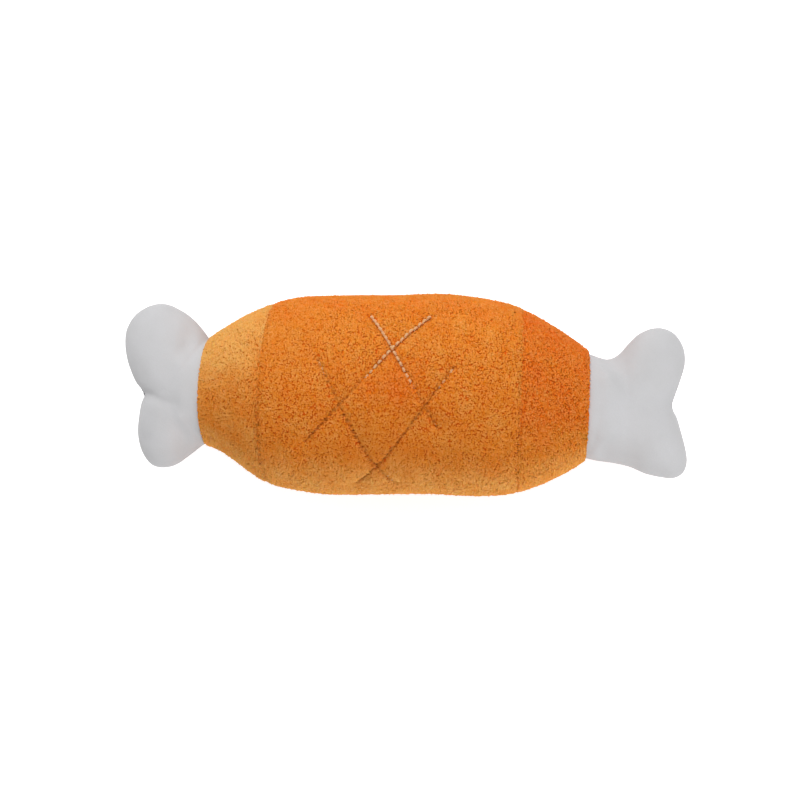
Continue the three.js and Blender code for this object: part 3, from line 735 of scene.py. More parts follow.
def build_plush_tones():
    """The pile's colour, with painted shade dark at the roots and in needle holes and grooves, painted light
    paler at the tips, and painted light and shade, deeper or paler, as the pile lies.
    """
    inputs = dict.fromkeys(plush_colours, "Color")
    tree, given = new_tree("plush_tones", "ShaderNodeTree", inputs, "Color", "Color")
    tip, tone, painted_lay, painted_pit_shade = (read_point(tree, name) for name in ("tip", "tuft_tone", "painted_lay", "painted_pit_shade"))
    grain = add_noise(tree, scale=700.0, detail=2.0)
    # Painted light and shade as the pile lies, with a fine random grain.
    grained = add_maths(tree, "MULTIPLY_ADD", add_maths(tree, "SUBTRACT", grain, 0.5), grain_strength, painted_lay)
    to_orange = add_maths(tree, "MULTIPLY", grained, 2.0, clamp=True)
    to_pale = add_maths(tree, "MULTIPLY", add_maths(tree, "SUBTRACT", grained, 0.5), 2.0, clamp=True)
    body = add_blend(tree, to_orange, given["Deep"], given["Orange"])
    body = add_blend(tree, to_pale, body, given["Pale"])
    rise = add_node(tree, "ShaderNodeMapRange", {0: tip, 1: 0.0, 2: 0.55}).outputs[0]
    pile = add_blend(tree, rise, given["Root"], body)
    # Painted light through the tips, screened over the colour.
    end = add_node(tree, "ShaderNodeMapRange", {0: tip, 1: 0.5, 2: 1.0}).outputs[0]
    end = add_maths(tree, "MULTIPLY", end, tone, clamp=True)
    pile = add_blend(tree, end, pile, given["Tip"], "SCREEN")
    # Painted shade at needle holes, in grooves and at the seams.
    pile = add_blend(tree, painted_pit_shade, pile, given["Hole_shade"])
    add_node(tree, "NodeGroupOutput", {"Color": pile})
    return tree


def build_soft_normal():
    """A normal between the tuft's own and its backing's, because light passes through and round the pile."""
    tree, given = new_tree("soft_pile_normal", "ShaderNodeTree", {"Softness": "Float"}, "Normal", "Vector")
    stored = {"Vector": read_point(tree, "backing_normal", "Vector")}
    ways = {"vector_type": "NORMAL", "convert_from": "OBJECT", "convert_to": "WORLD"}
    turned = add_node(tree, "ShaderNodeVectorTransform", stored, **ways).outputs[0]
    own = add_node(tree, "ShaderNodeNewGeometry").outputs["Normal"]
    normals = {0: given["Softness"], 4: own, 5: turned}
    mixed = add_node(tree, "ShaderNodeMix", normals, data_type="VECTOR").outputs[1]
    add_node(tree, "NodeGroupOutput", {"Normal": add_vector(tree, "NORMALIZE", mixed)})
    return tree


plush_tones = build_plush_tones()
soft_pile_normal = build_soft_normal()


def plush(name, is_pile):
    """Orange plush, either its standing pile or the knitted backing that the pile grows from."""
    material, tree = new_material(name)
    colours = plush_colours if is_pile else {**plush_colours, "Root": backing_colour}
    painted = {key: paint(colour) for key, colour in colours.items()}
    tones = add_node(tree, "ShaderNodeGroup", painted, node_tree=plush_tones)
    if is_pile:
        softness = {"Softness": pile_softness}
        normal = add_node(tree, "ShaderNodeGroup", softness, node_tree=soft_pile_normal).outputs["Normal"]
    else:
        knit = add_node(tree, "ShaderNodeTexVoronoi", {"Vector": own_place(tree), "Scale": 1500.0})
        normal = add_bump(tree, knit.outputs["Distance"], strength=0.5, distance=0.3 * mm)
    looks = {
        "Base Color": tones.outputs["Color"],
        "Normal": normal,
        "Roughness": 0.9,
        "Specular IOR Level": 0.1,
        "Subsurface Weight": 0.45,
        "Subsurface Radius": (1.0 * mm, 0.45 * mm, 0.15 * mm),
        "Subsurface Scale": 1.0,
        "Sheen Weight": 0.22,
        "Sheen Roughness": 0.5,
        "Sheen Tint": paint(plush_sheen),
    }
    return give_looks(material, looks)


plush_backing = plush("plush_backing", is_pile=False)
plush_pile = plush("plush_pile", is_pile=True)


def tuft_shapes():
    """Three closed tufts of fibre, one unit high and one across, bent a little and rooted in the backing."""
    shapes = bpy.data.collections.new("tuft_shapes")
    bends = [(0.0, 0.0), (0.35, 0.1), (-0.15, 0.4)]
    root, waist, top = -0.4, 0.3, 0.6  # heights: the widest part is high up, so the pile is blunt and full
    for i, (lean_x, lean_y) in enumerate(bends):
        points = [(0, 0, root), (lean_x, lean_y, top)]
        for k in range(3):
            turn = 2 * math.pi * k / 3 + i
            points.append((math.cos(turn) / 2 + lean_x / 4, math.sin(turn) / 2 + lean_y / 4, waist))
        sides_round = [(2 + k, 2 + (k + 1) % 3) for k in range(3)]
        faces = [(0, b, a) for a, b in sides_round] + [(1, a, b) for a, b in sides_round]
        mesh = bpy.data.meshes.new(f"tuft_{i}")
        mesh.from_pydata(points, [], faces)
        mesh.shade_smooth()
        store(mesh, "tip", [0, 1] + 3 * [waist - root])
        shapes.objects.link(bpy.data.objects.new(f"tuft_{i}", mesh))
    return shapes


tufts = tuft_shapes()


def add_random(tree, low, high, seed):
    """A random number for each point."""
    return add_node(tree, "FunctionNodeRandomValue", {2: low, 3: high, 8: seed}, data_type="FLOAT").outputs[1]


def read_stored(tree, name, kind):
    return add_node(tree, "GeometryNodeInputNamedAttribute", {"Name": name}, data_type=kind).outputs[0]


def add_store(tree, geometry, name, value, kind, domain):
    inputs = {"Geometry": geometry, "Name": name, "Value": value}
    return add_node(tree, "GeometryNodeStoreNamedAttribute", inputs, data_type=kind, domain=domain).outputs[0]


def add_turn(tree, rotation, turn):
    """A rotation, turned about its own Z."""
    about_z = add_node(tree, "ShaderNodeCombineXYZ", {2: turn}).outputs[0]
    inputs = {0: rotation, 1: about_z}
    return add_node(tree, "FunctionNodeRotateRotation", inputs, rotation_space="LOCAL").outputs[0]


def finish_tree(tree, instances, material):
    """Makes a tree's instances real, in a material, as what it gives out."""
    real = add_node(tree, "GeometryNodeRealizeInstances", {0: instances}).outputs[0]
    painted = add_node(tree, "GeometryNodeSetMaterial", {0: real, 2: material}).outputs[0]
    add_node(tree, "NodeGroupOutput", {0: painted})


def build_pile_tree():
    """Grows tufts over a cloth: evenly spaced, leaning with the nap, and curled in small clumps."""
    inputs = {"Geometry": "Geometry", "Lowest": "Float", "Highest": "Float"}
    tree, given = new_tree("grow_pile", "GeometryNodeTree", inputs, "Geometry", "Geometry")
    spreading = {
        "Mesh": given["Geometry"],
        "Distance Min": tuft_spacing,
        "Density Max": 6e6,
        "Density Factor": read_stored(tree, "grows", "FLOAT"),
        "Seed": tuft_seed,
    }
    spread = add_node(tree, "GeometryNodeDistributePointsOnFaces", spreading, distribute_method="POISSON")
    points, normal = spread.outputs["Points"], spread.outputs["Normal"]
    place = add_node(tree, "GeometryNodeInputPosition").outputs[0]
    height = add_node(tree, "ShaderNodeSeparateXYZ", {0: place}).outputs[2]
    outside = [
        add_node(tree, "FunctionNodeCompare", {0: height, 1: given[limit]}, operation=operation).outputs[0]
        for limit, operation in (("Lowest", "LESS_THAN"), ("Highest", "GREATER_EQUAL"))
    ]
    outside = add_node(tree, "FunctionNodeBooleanMath", dict(enumerate(outside)), operation="OR").outputs[0]
    # The normal is kept before points are taken away, because it belongs to the whole spread.
    kept = add_store(tree, points, "backing_normal", normal, "FLOAT_VECTOR", "POINT")
    kept = add_node(tree, "GeometryNodeDeleteGeometry", {0: kept, 1: outside}).outputs[0]
    swirls = []
    for stretch in swirl_stretches:
        drawn = add_vector(tree, "MULTIPLY", place, stretch)
        swirls.append(add_noise(tree, curl_scale, detail=1.0, place=drawn, output="Color"))
    swirl = add_blend(tree, read_stored(tree, "combed", "FLOAT"), *swirls)
    swirl = add_vector(tree, "SUBTRACT", swirl, noise_middle)
    clump = add_node(tree, "ShaderNodeSeparateXYZ", {0: swirl}).outputs[2]
    nap = add_vector(tree, "SCALE", read_stored(tree, "nap", "FLOAT_VECTOR"), nap_lean)
    grown = add_vector(tree, "ADD", nap, add_vector(tree, "SCALE", swirl, curl_reach))
    grown = add_vector(tree, "ADD", grown, read_stored(tree, "backing_normal", "FLOAT_VECTOR"))
    upright = add_node(tree, "FunctionNodeAlignRotationToVector", {"Vector": grown}, axis="Z").outputs[0]
    turned = add_turn(tree, upright, add_random(tree, low=0.0, high=2 * math.pi, seed=1))
    width = add_maths(tree, "MULTIPLY", add_random(tree, low=0.75, high=1.2, seed=2), tuft_width)
    pile = add_maths(tree, "MULTIPLY", read_stored(tree, "pile", "FLOAT"), add_maths(tree, "ADD", clump, 1.0))
    length = add_maths(tree, "MULTIPLY", tuft_length, pile)
    shapes = {0: tufts, 1: True, 2: True}
    choice = {4: 0, 5: 2, 8: 3}
    planting = {
        "Points": kept,
        "Instance": add_node(tree, "GeometryNodeCollectionInfo", shapes).outputs[0],
        "Pick Instance": True,
        "Instance Index": add_node(tree, "FunctionNodeRandomValue", choice, data_type="INT").outputs[2],
        "Rotation": turned,
        "Scale": add_node(tree, "ShaderNodeCombineXYZ", {0: width, 1: width, 2: length}).outputs[0],
    }
    planted = add_node(tree, "GeometryNodeInstanceOnPoints", planting).outputs[0]
    # How much painted light each tuft's tip takes: some at random, more on a clump's taller tufts.
    lighter = add_maths(tree, "MULTIPLY", clump, 1.5)
    tone = add_maths(tree, "ADD", add_random(tree, low=0.1, high=0.9, seed=4), lighter, clamp=True)
    finish_tree(tree, add_store(tree, planted, "tuft_tone", tone, "FLOAT", "INSTANCE"), plush_pile)
    return tree


def grow(name, mesh, tree, values):
    """A new piece made by a Geometry Nodes tree from a mesh, left as a plain mesh."""
    piece = show(name, mesh)
    modifier = piece.modifiers.new(tree.name, "NODES")
    modifier.node_group = tree
    for socket in tree.interface.items_tree:
        if socket.in_out == "INPUT" and socket.name in values:
            modifier[socket.identifier] = values[socket.name]
    settle(piece)
    bpy.data.meshes.remove(mesh)
    return piece


pile_tree = build_pile_tree()
whole_height = {"Lowest": -1.0, "Highest": 1.0}

sleeve_edge = panel_x - seam_gap
sleeve_rows = np.linspace(-sleeve_edge, sleeve_edge, round(2 * sleeve_edge / skin_step) + 1)
inner_half = sleeve_edge - 2 * allowance_wall
inner_stations = [(x, backing_wall) for x in np.linspace(inner_half, -inner_half, inner_rows)]
sleeve_stations = allowance(sleeve_edge, -1) + inner_stations + allowance(-sleeve_edge, 1)[::-1]
sleeve, turns = cloth_tube("sleeve_backing", sleeve_rows, sleeve_stations, sleeve_columns, plush_backing)
dress(sleeve, sleeve_rows, turns, "sleeve")
stand_for("middle_sleeve")
for name, limit in (("sleeve_front_pile", "Lowest"), ("sleeve_back_pile", "Highest")):
    pile = grow(name, sleeve.data.copy(), pile_tree, {**whole_height, limit: axis_z})
    give_way(pile)
give_way(sleeve)

# Orange cover, end panels: a tapering tube of the same plush at each end, seamed to the sleeve and folded
# in at the ring round the bone's neck. The left panel's pile is brushed along the toy, and painted light
# makes it paler.
panel_columns = 288
panel_inner_rows = 8
neck_radius = 19.4 * mm
neck_gap = 0.3 * mm
fold_round = 0.5 * mm
thinnest_wall = 0.2 * mm


def panel_stations(edge):
    """The (x, depth) stations of a panel's inner side, from the fold at its ring back to its seam."""
    stations = [(ring_x, fold_round), (ring_x - fold_round / 2, 2 * fold_round)]
    socket = neck_radius + neck_gap
    for x in np.linspace(ring_x - fold_round, edge + 2 * allowance_wall, panel_inner_rows):
        ball = math.sqrt(max(socket**2 - (ring_x - x) ** 2, 0))
        room = float(backing_radius(x, 0.0)) - ball
        stations.append((x, max(min(room, backing_wall), thinnest_wall)))
    return stations + allowance(edge, 1)[::-1]


panel_edge = panel_x + seam_gap
panel_rows = np.linspace(panel_edge, ring_x - fold_round / 2, round((ring_x - panel_edge) / skin_step) + 1)
for side, sign in sides:
    stations = [(sign * x, depth) for x, depth in panel_stations(panel_edge)]
    rows = sign * panel_rows
    panel, turns = cloth_tube(f"{side}_panel_backing", rows, stations, panel_columns, plush_backing)
    dress(panel, rows, turns, side)
    stand_for(f"{side}_end_panel")
    pile = grow(f"{side}_panel_pile", panel.data.copy(), pile_tree, whole_height)
    give_way(pile, sign)
    give_way(panel, sign)

# Sewing threads of the cover: a ring of machine stitches down in each seam between the panels, a ring
# of hand stitches where each bone is sewn in, and the ladder stitch that closes the sleeve's lengthwise seam.
ply_radius = 0.19 * mm
ply_turns = 1.5  # twists of the two plies in one stitch
ply_offset = 0.8  # each ply's middle from the thread's, in ply radii
ply_end = 0.45  # how thick a ply is at a needle hole, as a share
ply_sides = 6
ply_steps = 12
stitch_rise = 0.44 * mm
seam_thread_colour = (196, 100, 36)
thread_shade = 0.55
seam_pitch = 2.4 * mm
seam_sink = -0.5 * mm
neck_pitch = 3.1 * mm
neck_lean = 0.35
neck_inset = 0.9 * mm
ladder_pitch = 3.4 * mm
ladder_length = 2.2 * mm
ladder_height = 0.5 * mm
ladder_lean = 0.3
ladder_share = 0.8  # of the sleeve's length
stitch_share = 0.74  # how much of its pitch a stitch shows


def twisted_stitch():
    """One stitch of two twisted plies along X, one unit long. It rises from one needle hole and dips to the
    next."""
    points, faces = [], []
    for ply in (0, 1):
        base = len(points)
        for t in np.arange(ply_steps + 1) / ply_steps:
            turn = 2 * math.pi * (ply_turns * t + ply / 2)
            arch = 4 * t * (1 - t)
            taper = min(1.0, ply_end + arch)
            middle_y = ply_offset * math.cos(turn)
            middle_z = ply_offset * math.sin(turn) + stitch_rise / ply_radius * arch
            for k in range(ply_sides):
                angle = 2 * math.pi * k / ply_sides
                y, z = middle_y + taper * math.cos(angle), middle_z + taper * math.sin(angle)
                points.append((t - 0.5, y, z))
        faces += [tuple(base + v for v in face) for face in ring_faces(ply_steps + 1, ply_sides, False)]
        faces.append(tuple(base + k for k in range(ply_sides)))
        faces.append(tuple(base + ply_steps * ply_sides + k for k in reversed(range(ply_sides))))
    mesh = bpy.data.meshes.new("twisted_stitch")
    mesh.from_pydata(points, [], faces)
    mesh.flip_normals()
    mesh.shade_smooth()
    return bpy.data.objects.new("twisted_stitch", mesh)


stitch = twisted_stitch()


def build_stitch_tree():
    """Sews one stitch at each point of a row, laid along the point's own direction and facing its up."""
    inputs = {"Geometry": "Geometry", "Length": "Float", "Radius": "Float"}
    inputs |= {"Seed": "Int", "Material": "Material"}
    tree, given = new_tree("sew_stitches", "GeometryNodeTree", inputs, "Geometry", "Geometry")
    ways = {0: read_stored(tree, "up", "FLOAT_VECTOR"), 1: read_stored(tree, "along", "FLOAT_VECTOR")}
    axes = {"primary_axis": "Z", "secondary_axis": "X"}
    facing = add_node(tree, "FunctionNodeAxesToRotation", ways, **axes).outputs[0]
    length = add_maths(tree, "MULTIPLY", add_random(tree, low=0.88, high=1.06, seed=5), given["Length"])
    size = {0: length, 1: given["Radius"], 2: given["Radius"]}
    model = add_node(tree, "GeometryNodeObjectInfo", {0: stitch, 1: True})
    sewing = {
        "Points": add_node(tree, "GeometryNodeMeshToPoints", {0: given["Geometry"]}).outputs[0],
        "Instance": model.outputs["Geometry"],
        "Rotation": add_turn(tree, facing, add_random(tree, low=-0.14, high=0.14, seed=given["Seed"])),
        "Scale": add_node(tree, "ShaderNodeCombineXYZ", size).outputs[0],
    }
    finish_tree(tree, add_node(tree, "GeometryNodeInstanceOnPoints", sewing).outputs[0], given["Material"])
    return tree


stitch_tree = build_stitch_tree()


def sew(name, places, along, up, length, material, seed=0, radius=ply_radius):
    """A row of stitches through places, each with its own direction along the row and outwards."""
    row = bpy.data.meshes.new(name)
    row.from_pydata([tuple(p) for p in places], [], [])
    store(row, "along", along)
    store(row, "up", up)
    values = {"Length": length, "Radius": radius, "Seed": seed, "Material": material}
    return grow(name, row, stitch_tree, values)


def sewing_thread(name, colour, shine, gloss):
    """Twisted thread: fine fibres across each ply, with a soft shine. Noise blends a painted shaded copy of
    its colour with a painted shine colour.
    """
    material, tree = new_material(name)
    fibres = add_noise(tree, scale=2600.0, detail=2.0)
    looks = {
        "Base Color": add_blend(tree, fibres, paint(colour, thread_shade), paint(shine)),
        "Normal": add_bump(tree, fibres, strength=0.4, distance=0.1 * mm),
        "Roughness": gloss,
        "Sheen Weight": 0.2,
    }
    return give_looks(material, looks)


def on_barrel(x, turns, height):
    """Places at a height over the barrel's backing, with the ways outwards and round there."""
    out, round_way = ring_ways(turns)
    places = np.array([barrel_x, 0, axis_z]) + (backing_radius(x, turns) + height)[:, None] * out
    places[:, 0] += x
    return places, out, round_way


seam_thread = sewing_thread("seam_thread", seam_thread_colour, seam_thread_colour, gloss=0.8)

for side, sign in sides:
    count = round(2 * math.pi * float(tips_radius(panel_x)) / seam_pitch)
    turns = 2 * np.pi * (np.arange(count) + 0.5) / count
    places, out, round_way = on_barrel(np.full(count, sign * panel_x), turns, seam_sink)
    thread = sew(f"{side}_body_stitches", places, round_way, out, stitch_share * seam_pitch, seam_thread)
    stand_for(f"{side}_body_seam_thread")
    give_way(thread)
    low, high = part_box(f"{side}_neck_seam_thread")
    ring = neck_radius + neck_gap / 2
    count = round(2 * math.pi * ring / neck_pitch)
    out, round_way = ring_ways(2 * np.pi * np.arange(count) / count)
    round_way[:, 0] = neck_lean
    places = np.array([(low.x + high.x) / 2 - sign * neck_inset, 0, axis_z]) + ring * out
    thread = sew(f"{side}_neck_stitches", places, round_way, out, stitch_share * neck_pitch, seam_thread)
    stand_for(f"{side}_neck_seam_thread")
    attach(thread, "toy_body")

closing_half = ladder_share * panel_x
x = np.linspace(-closing_half, closing_half, round(2 * closing_half / ladder_pitch) + 1)
places, out, round_way = on_barrel(x, np.full(len(x), closing_turn), ladder_height)
round_way[:, 0] = ladder_lean
thread = sew("closing_stitches", places, round_way, out, ladder_length, seam_thread)
stand_for("closing_seam_thread")
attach(thread, "toy_body")

# Scored lines: running stitch in a thick silvery thread, sewn through plush and backing in two rows of two
# that cross in a slanted cell. The stitches lie in the groove that they draw in, deeper on the lower side.
# The silver thread's painted shade and painted highlight colours, blended by noise over its fibres.
score_shade = (248, 156, 92)
score_shine = (255, 218, 158)
score_height_top = 1.1 * mm  # over the backing, by the upper ends of the lines
score_height_bottom = -1.2 * mm
score_climb = 7 * mm
score_unevenness = 0.16 * mm
score_length_share = 0.82
score_ply_radius = 0.31 * mm
silver_thread = sewing_thread("silver_thread", score_shade, score_shine, gloss=0.45)

for number, (name, middle, way, half, shown, sunk, _) in enumerate(scored_lines):
    count = round(2 * half / stitch_pitch)
    run = (np.arange(count) + 0.5) * stitch_pitch - half
    x, y = (middle + run[:, None] * way).T
    high_up = soft_step(y, shown - score_climb, shown + score_climb)
    height = score_height_bottom + (score_height_top - score_height_bottom) * high_up - sunk
    height += np.random.default_rng(number).normal(0, score_unevenness, count)
    if name.startswith("rising"):
        for _, other_middle, other_way, *_ in scored_lines[:2]:
            apart = other_middle - middle
            meeting = np.linalg.det([apart, other_way]) / np.linalg.det([way, other_way])
            height = height + 2 * ply_radius * hump(run - meeting, stitch_pitch)
    places, up, round_way = on_barrel(x, y / cover_radius, height)
    along = way[1] * round_way
    along[:, 0] = way[0]
    row_name = name.replace("thread", "stitches")
    length = score_length_share * stitch_pitch
    thread = sew(row_name, places, along, up, length, silver_thread, number, score_ply_radius)
    stand_for(name)
    give_way(thread)

# Bone knobs: two cloths of white fleece sewn together round the edge, turned and stuffed. The round neck
# is pushed into the cover's ring, and the head spreads into two lobes with a notch between them.
fillet = 15 * mm
fillet_band = (-3 * mm, 13 * mm)
fleece_wall = 1.2 * mm
bone_columns = 176
bone_rows = 56
bone_inner_rows = 8
bone_easing = 160
easing_band = (0, 9 * mm)
bone_seam_depth = 0.55 * mm
bone_seam_width = 0.9 * mm
bone_seam_band = (0, 5 * mm)
pucker_waves = (41, 5)  # round the knob
stitch_sink = 1.9  # of the seam's depth
path_steps = 8
crease_steps = 6
ray_halvings = 24
edge_gap = 0.08 * mm  # how far each cloth's edge stays from the knob's middle plane
# The fleece's painted lit and shaded tones, blended by noise over its face.
fleece_lit_tone = (198, 198, 201)
fleece_shade = (178, 177, 177)
white_thread_colour = (216, 216, 218)
bone_pitch = 2.2 * mm

# The rounded forms inside each knob, from the ring's middle: out, up the photo, and their half lengths.
left_forms = [
    (12.2, -1.0, 13.0, 20.3, 14.4),
    (19.0, 16.6, 14.0, 15.0, 9.6),
    (16.2, -17.0, 9.9, 11.7, 11.0),
]
right_forms = [
    (14.8, -1.2, 17.2, 19.4, 14.4),
    (25.0, 17.8, 10.8, 12.5, 12.0),
    (30.0, -17.2, 7.6, 7.7, 9.6),
    (22.0, -12.0, 10.0, 9.0, 11.2),
    (9.0, -9.5, 11.0, 12.0, 13.0),
    (9.5, 7.5, 11.0, 11.0, 13.4),
]
left_flatness, right_flatness = 0.16, 0.24  # how much less thick a knob is than its forms, past the ring
flatness_band = (1 * mm, 15 * mm)
shoulder_flatness = 0.18  # and how much less again where a lobe rises beside the ring
shoulder_x = 6 * mm
shoulder_width = 4 * mm
shoulder_band = (9 * mm, 17 * mm)
# The knobs' outlines, from the ring's upper edge round the lobes to its lower edge.
left_outline = [
    (0.8, 19.5), (4.3, 24.1), (8.1, 27.8), (12.3, 30.5), (17.8, 32.7), (23.6, 32.0), (29.2, 28.5),
    (32.5, 23.0), (33.0, 17.0), (31.9, 11.0), (29.8, 5.6), (27.2, 0.6), (25.6, -3.4), (26.2, -9.5),
    (26.5, -17.0), (24.8, -23.6), (21.2, -28.4), (16.6, -29.6), (12.0, -28.3), (6.5, -24.2),
    (2.8, -21.0), (0.6, -19.5),
]
right_outline = [
    (0.8, 19.3), (4.0, 18.2), (7.6, 17.7), (11.5, 19.8), (15.5, 24.6), (19.5, 28.2), (25.2, 30.0),
    (30.8, 28.4), (34.5, 23.6), (35.6, 17.6), (34.2, 11.0), (32.4, 5.0), (32.0, 0.8), (33.4, -3.0),
    (35.2, -8.6), (36.9, -14.4), (37.6, -19.2), (36.4, -23.2), (33.0, -25.4), (28.0, -25.2),
    (22.4, -24.1), (17.0, -22.0), (11.0, -20.8), (5.0, -20.2), (0.8, -19.4),
]
# Creases and dimples on a knob's front: a path of (out, up) places, a depth and a half width.
left_creases = [
    ([(27.0, -1.2), (20.5, -2.6), (14.0, -4.4), (9.5, -5.2)], 1.5, 2.2),
    ([(21.5, -18.6), (15.0, -19.4)], 0.35, 1.5),
    ([(6.0, 10.0), (2.5, 14.0)], 0.3, 2.2),
]
right_creases = [
    ([(14.5, 3.4), (12.4, 5.4)], 0.5, 2.0),
    ([(32.0, 0.8), (26.0, 0.4)], 0.6, 2.6),
    ([(6.5, -9.0), (9.5, -10.5)], 0.3, 1.8),
]
crease_loss = 0.6  # how much shallower a crease is by its end


def soft_union(a, b, softness):
    near = np.maximum(softness - np.abs(a - b), 0) / np.maximum(softness, mm / 1000)
    return np.minimum(a, b) - near * near * softness / 4


def bone_depth(point, forms):
    """How far points lie outside a bone's form, or inside it where negative."""
    softness = fillet * soft_step(point[..., 0], *fillet_band)
    depth = np.linalg.norm(point, axis=-1) - neck_radius
    for out, up, long, wide, thick in forms:
        size = np.array([long, wide, thick]) * mm
        away = np.linalg.norm((point - np.array([out, up, 0]) * mm) / size, axis=-1)
        depth = soft_union(depth, (away - 1) * size.min(), softness)
    return depth


def bone_reach(towards, heart, forms):
    """How far rays from a bone's heart run before they leave its form."""
    near, far = np.zeros(towards.shape[:-1]), np.full(towards.shape[:-1], 4 * neck_radius)
    for _ in range(ray_halvings):
        half = (near + far) / 2
        inside = bone_depth(heart + half[..., None] * towards, forms) < 0
        near, far = np.where(inside, half, near), np.where(inside, far, half)
    return near


def ease(reach):
    """A bone's reach, evened out between its forms as stuffing evens it."""
    for _ in range(bone_easing):
        beside = np.roll(reach, 1, axis=1) + np.roll(reach, -1, axis=1)
        above = np.concatenate([reach[1:], np.full((1, bone_columns), reach[-1].mean())])
        below = np.concatenate([reach[1:2], reach[:-1]])
        reach = (beside + above + below) / 4
    return reach


def smooth_path(corners, steps):
    """A smooth path through corners, open, with some steps between each two."""
    corners = np.array(corners) * mm
    padded = np.concatenate([[2 * corners[0] - corners[1]], corners, [2 * corners[-1] - corners[-2]]])
    made = []
    for a, b, c, d in zip(padded, padded[1:], padded[2:], padded[3:]):
        t = np.linspace(0, 1, steps, endpoint=False)[:, None]
        made.append(b + 0.5 * t * (c - a + t * (2 * a - 5 * b + 4 * c - d + t * (3 * (b - c) + d - a))))
    return np.concatenate(made + [corners[-1:]])


def outline_reach(outline, middle, turns):
    """How far a knob's outline lies from its middle in each direction, and the neck's ball behind it."""
    path = smooth_path(outline, path_steps)
    upper_end, lower_end = path[0], path[-1]
    start, end = math.atan2(lower_end[1], lower_end[0]), math.atan2(upper_end[1], upper_end[0])
    arc = np.linspace(start + 2 * np.pi, end, 40)[1:-1]
    ball = neck_radius * np.stack([np.cos(arc), np.sin(arc)], axis=-1)
    closed = np.concatenate([path, ball]) - np.array([middle, 0])
    angle = np.arctan2(closed[:, 1], closed[:, 0])
    order = np.argsort(angle)
    return np.interp(turns, angle[order], np.linalg.norm(closed, axis=1)[order], period=2 * np.pi)


def path_distance(point, path):
    """How far points lie from a path, and how far along it they are, from 0 to 1."""
    best, share = np.full(point.shape[:-1], np.inf), np.zeros(point.shape[:-1])
    for i, (a, b) in enumerate(zip(path, path[1:])):
        t = np.clip(((point - a) @ (b - a)) / ((b - a) @ (b - a)), 0, 1)
        away = np.linalg.norm(point - a - t[..., None] * (b - a), axis=-1)
        share = np.where(away < best, (i + t) / (len(path) - 1), share)
        best = np.minimum(best, away)
    return best, share


def fleece(name):
    """White fleece: a very short, even nap. Noise blends a faintly cool painted lit tone with a faintly warm
    painted shaded tone.
    """
    material, tree = new_material(name)
    soft = add_noise(tree, scale=70.0, detail=2.0)
    nap = add_noise(tree, scale=1900.0, detail=3.0, Roughness=0.6)
    tone = add_maths(tree, "MULTIPLY_ADD", nap, 0.4, add_maths(tree, "MULTIPLY", soft, 0.6))
    looks = {
        "Base Color": add_blend(tree, tone, paint(fleece_shade), paint(fleece_lit_tone)),
        "Normal": add_bump(tree, nap, strength=0.35, distance=0.25 * mm),
        "Roughness": 0.95,
        "Specular IOR Level": 0.15,
        "Sheen Weight": 0.2,
        "Sheen Roughness": 0.6,
    }
    return give_looks(material, looks)


white_fleece = fleece("white_fleece")


def bone_cloth(name, forms, flatness, outline, creases, facing):
    """One cloth of a knob as a closed shell. The ring's middle is its origin, and +X goes outwards."""
    turns = np.linspace(-np.pi, np.pi, bone_columns, endpoint=False)
    tilts = np.linspace(0, np.pi / 2, bone_rows, endpoint=False)[:, None]
    rise = np.sin(tilts) * np.ones(bone_columns)
    towards = np.stack([np.cos(tilts) * np.cos(turns), np.cos(tilts) * np.sin(turns), rise], axis=-1)
    heart = np.array([forms[0][0] * mm, 0, 0])
    reach = bone_reach(towards, heart, forms)
    free = soft_step((heart + reach[..., None] * towards)[..., 0], *easing_band)
    reach = reach + free * (ease(reach) - reach)
    outer = reach[..., None] * towards
    outer[..., :2] *= (outline_reach(outline, heart[0], turns) / reach[0])[:, None]
    outer += heart
    outer[..., 2] *= 1 - flatness * soft_step(outer[..., 0], *flatness_band)
    shoulder = hump(outer[..., 0] - shoulder_x, shoulder_width)
    outer[..., 2] *= 1 - shoulder_flatness * shoulder * soft_step(np.abs(outer[..., 1]), *shoulder_band)
    many, few = pucker_waves
    pucker = 1 + 0.5 * np.sin(turns * many + 2 * np.sin(turns * few))
    drawn = bone_seam_depth * hump(outer[..., 2], bone_seam_width) * pucker
    drawn = drawn * soft_step(outer[..., 0], *bone_seam_band)
    for path, depth, width in creases:
        away, share = path_distance(outer[..., :2], smooth_path(path, crease_steps))
        drawn = drawn + depth * mm * hump(away, width * mm) * (1 - crease_loss * share)
    length = np.linalg.norm(outer - heart, axis=-1, keepdims=True)
    outer = heart + (outer - heart) * (1 - drawn[..., None] / length)
    inner = (heart + (outer - heart) * (1 - fleece_wall / length))[:: bone_rows // bone_inner_rows][::-1]
    rings = np.concatenate([inner, outer])
    top = outer[-1, :, 2].mean()
    pole = heart + np.array([[0, 0, top - fleece_wall], [0, 0, top]])
    points = np.concatenate([rings.reshape(-1, 3), pole])
    points[:, 2] += edge_gap
    faces = ring_faces(len(rings), bone_columns, False)
    last = (len(rings) - 1) * bone_columns
    for i in range(bone_columns):
        k = (i + 1) % bone_columns
        faces.append((len(points) - 2, k, i))
        faces.append((len(points) - 1, last + i, last + k))
    points[:, 2] *= facing
    return make_piece(name, points, faces, white_fleece)


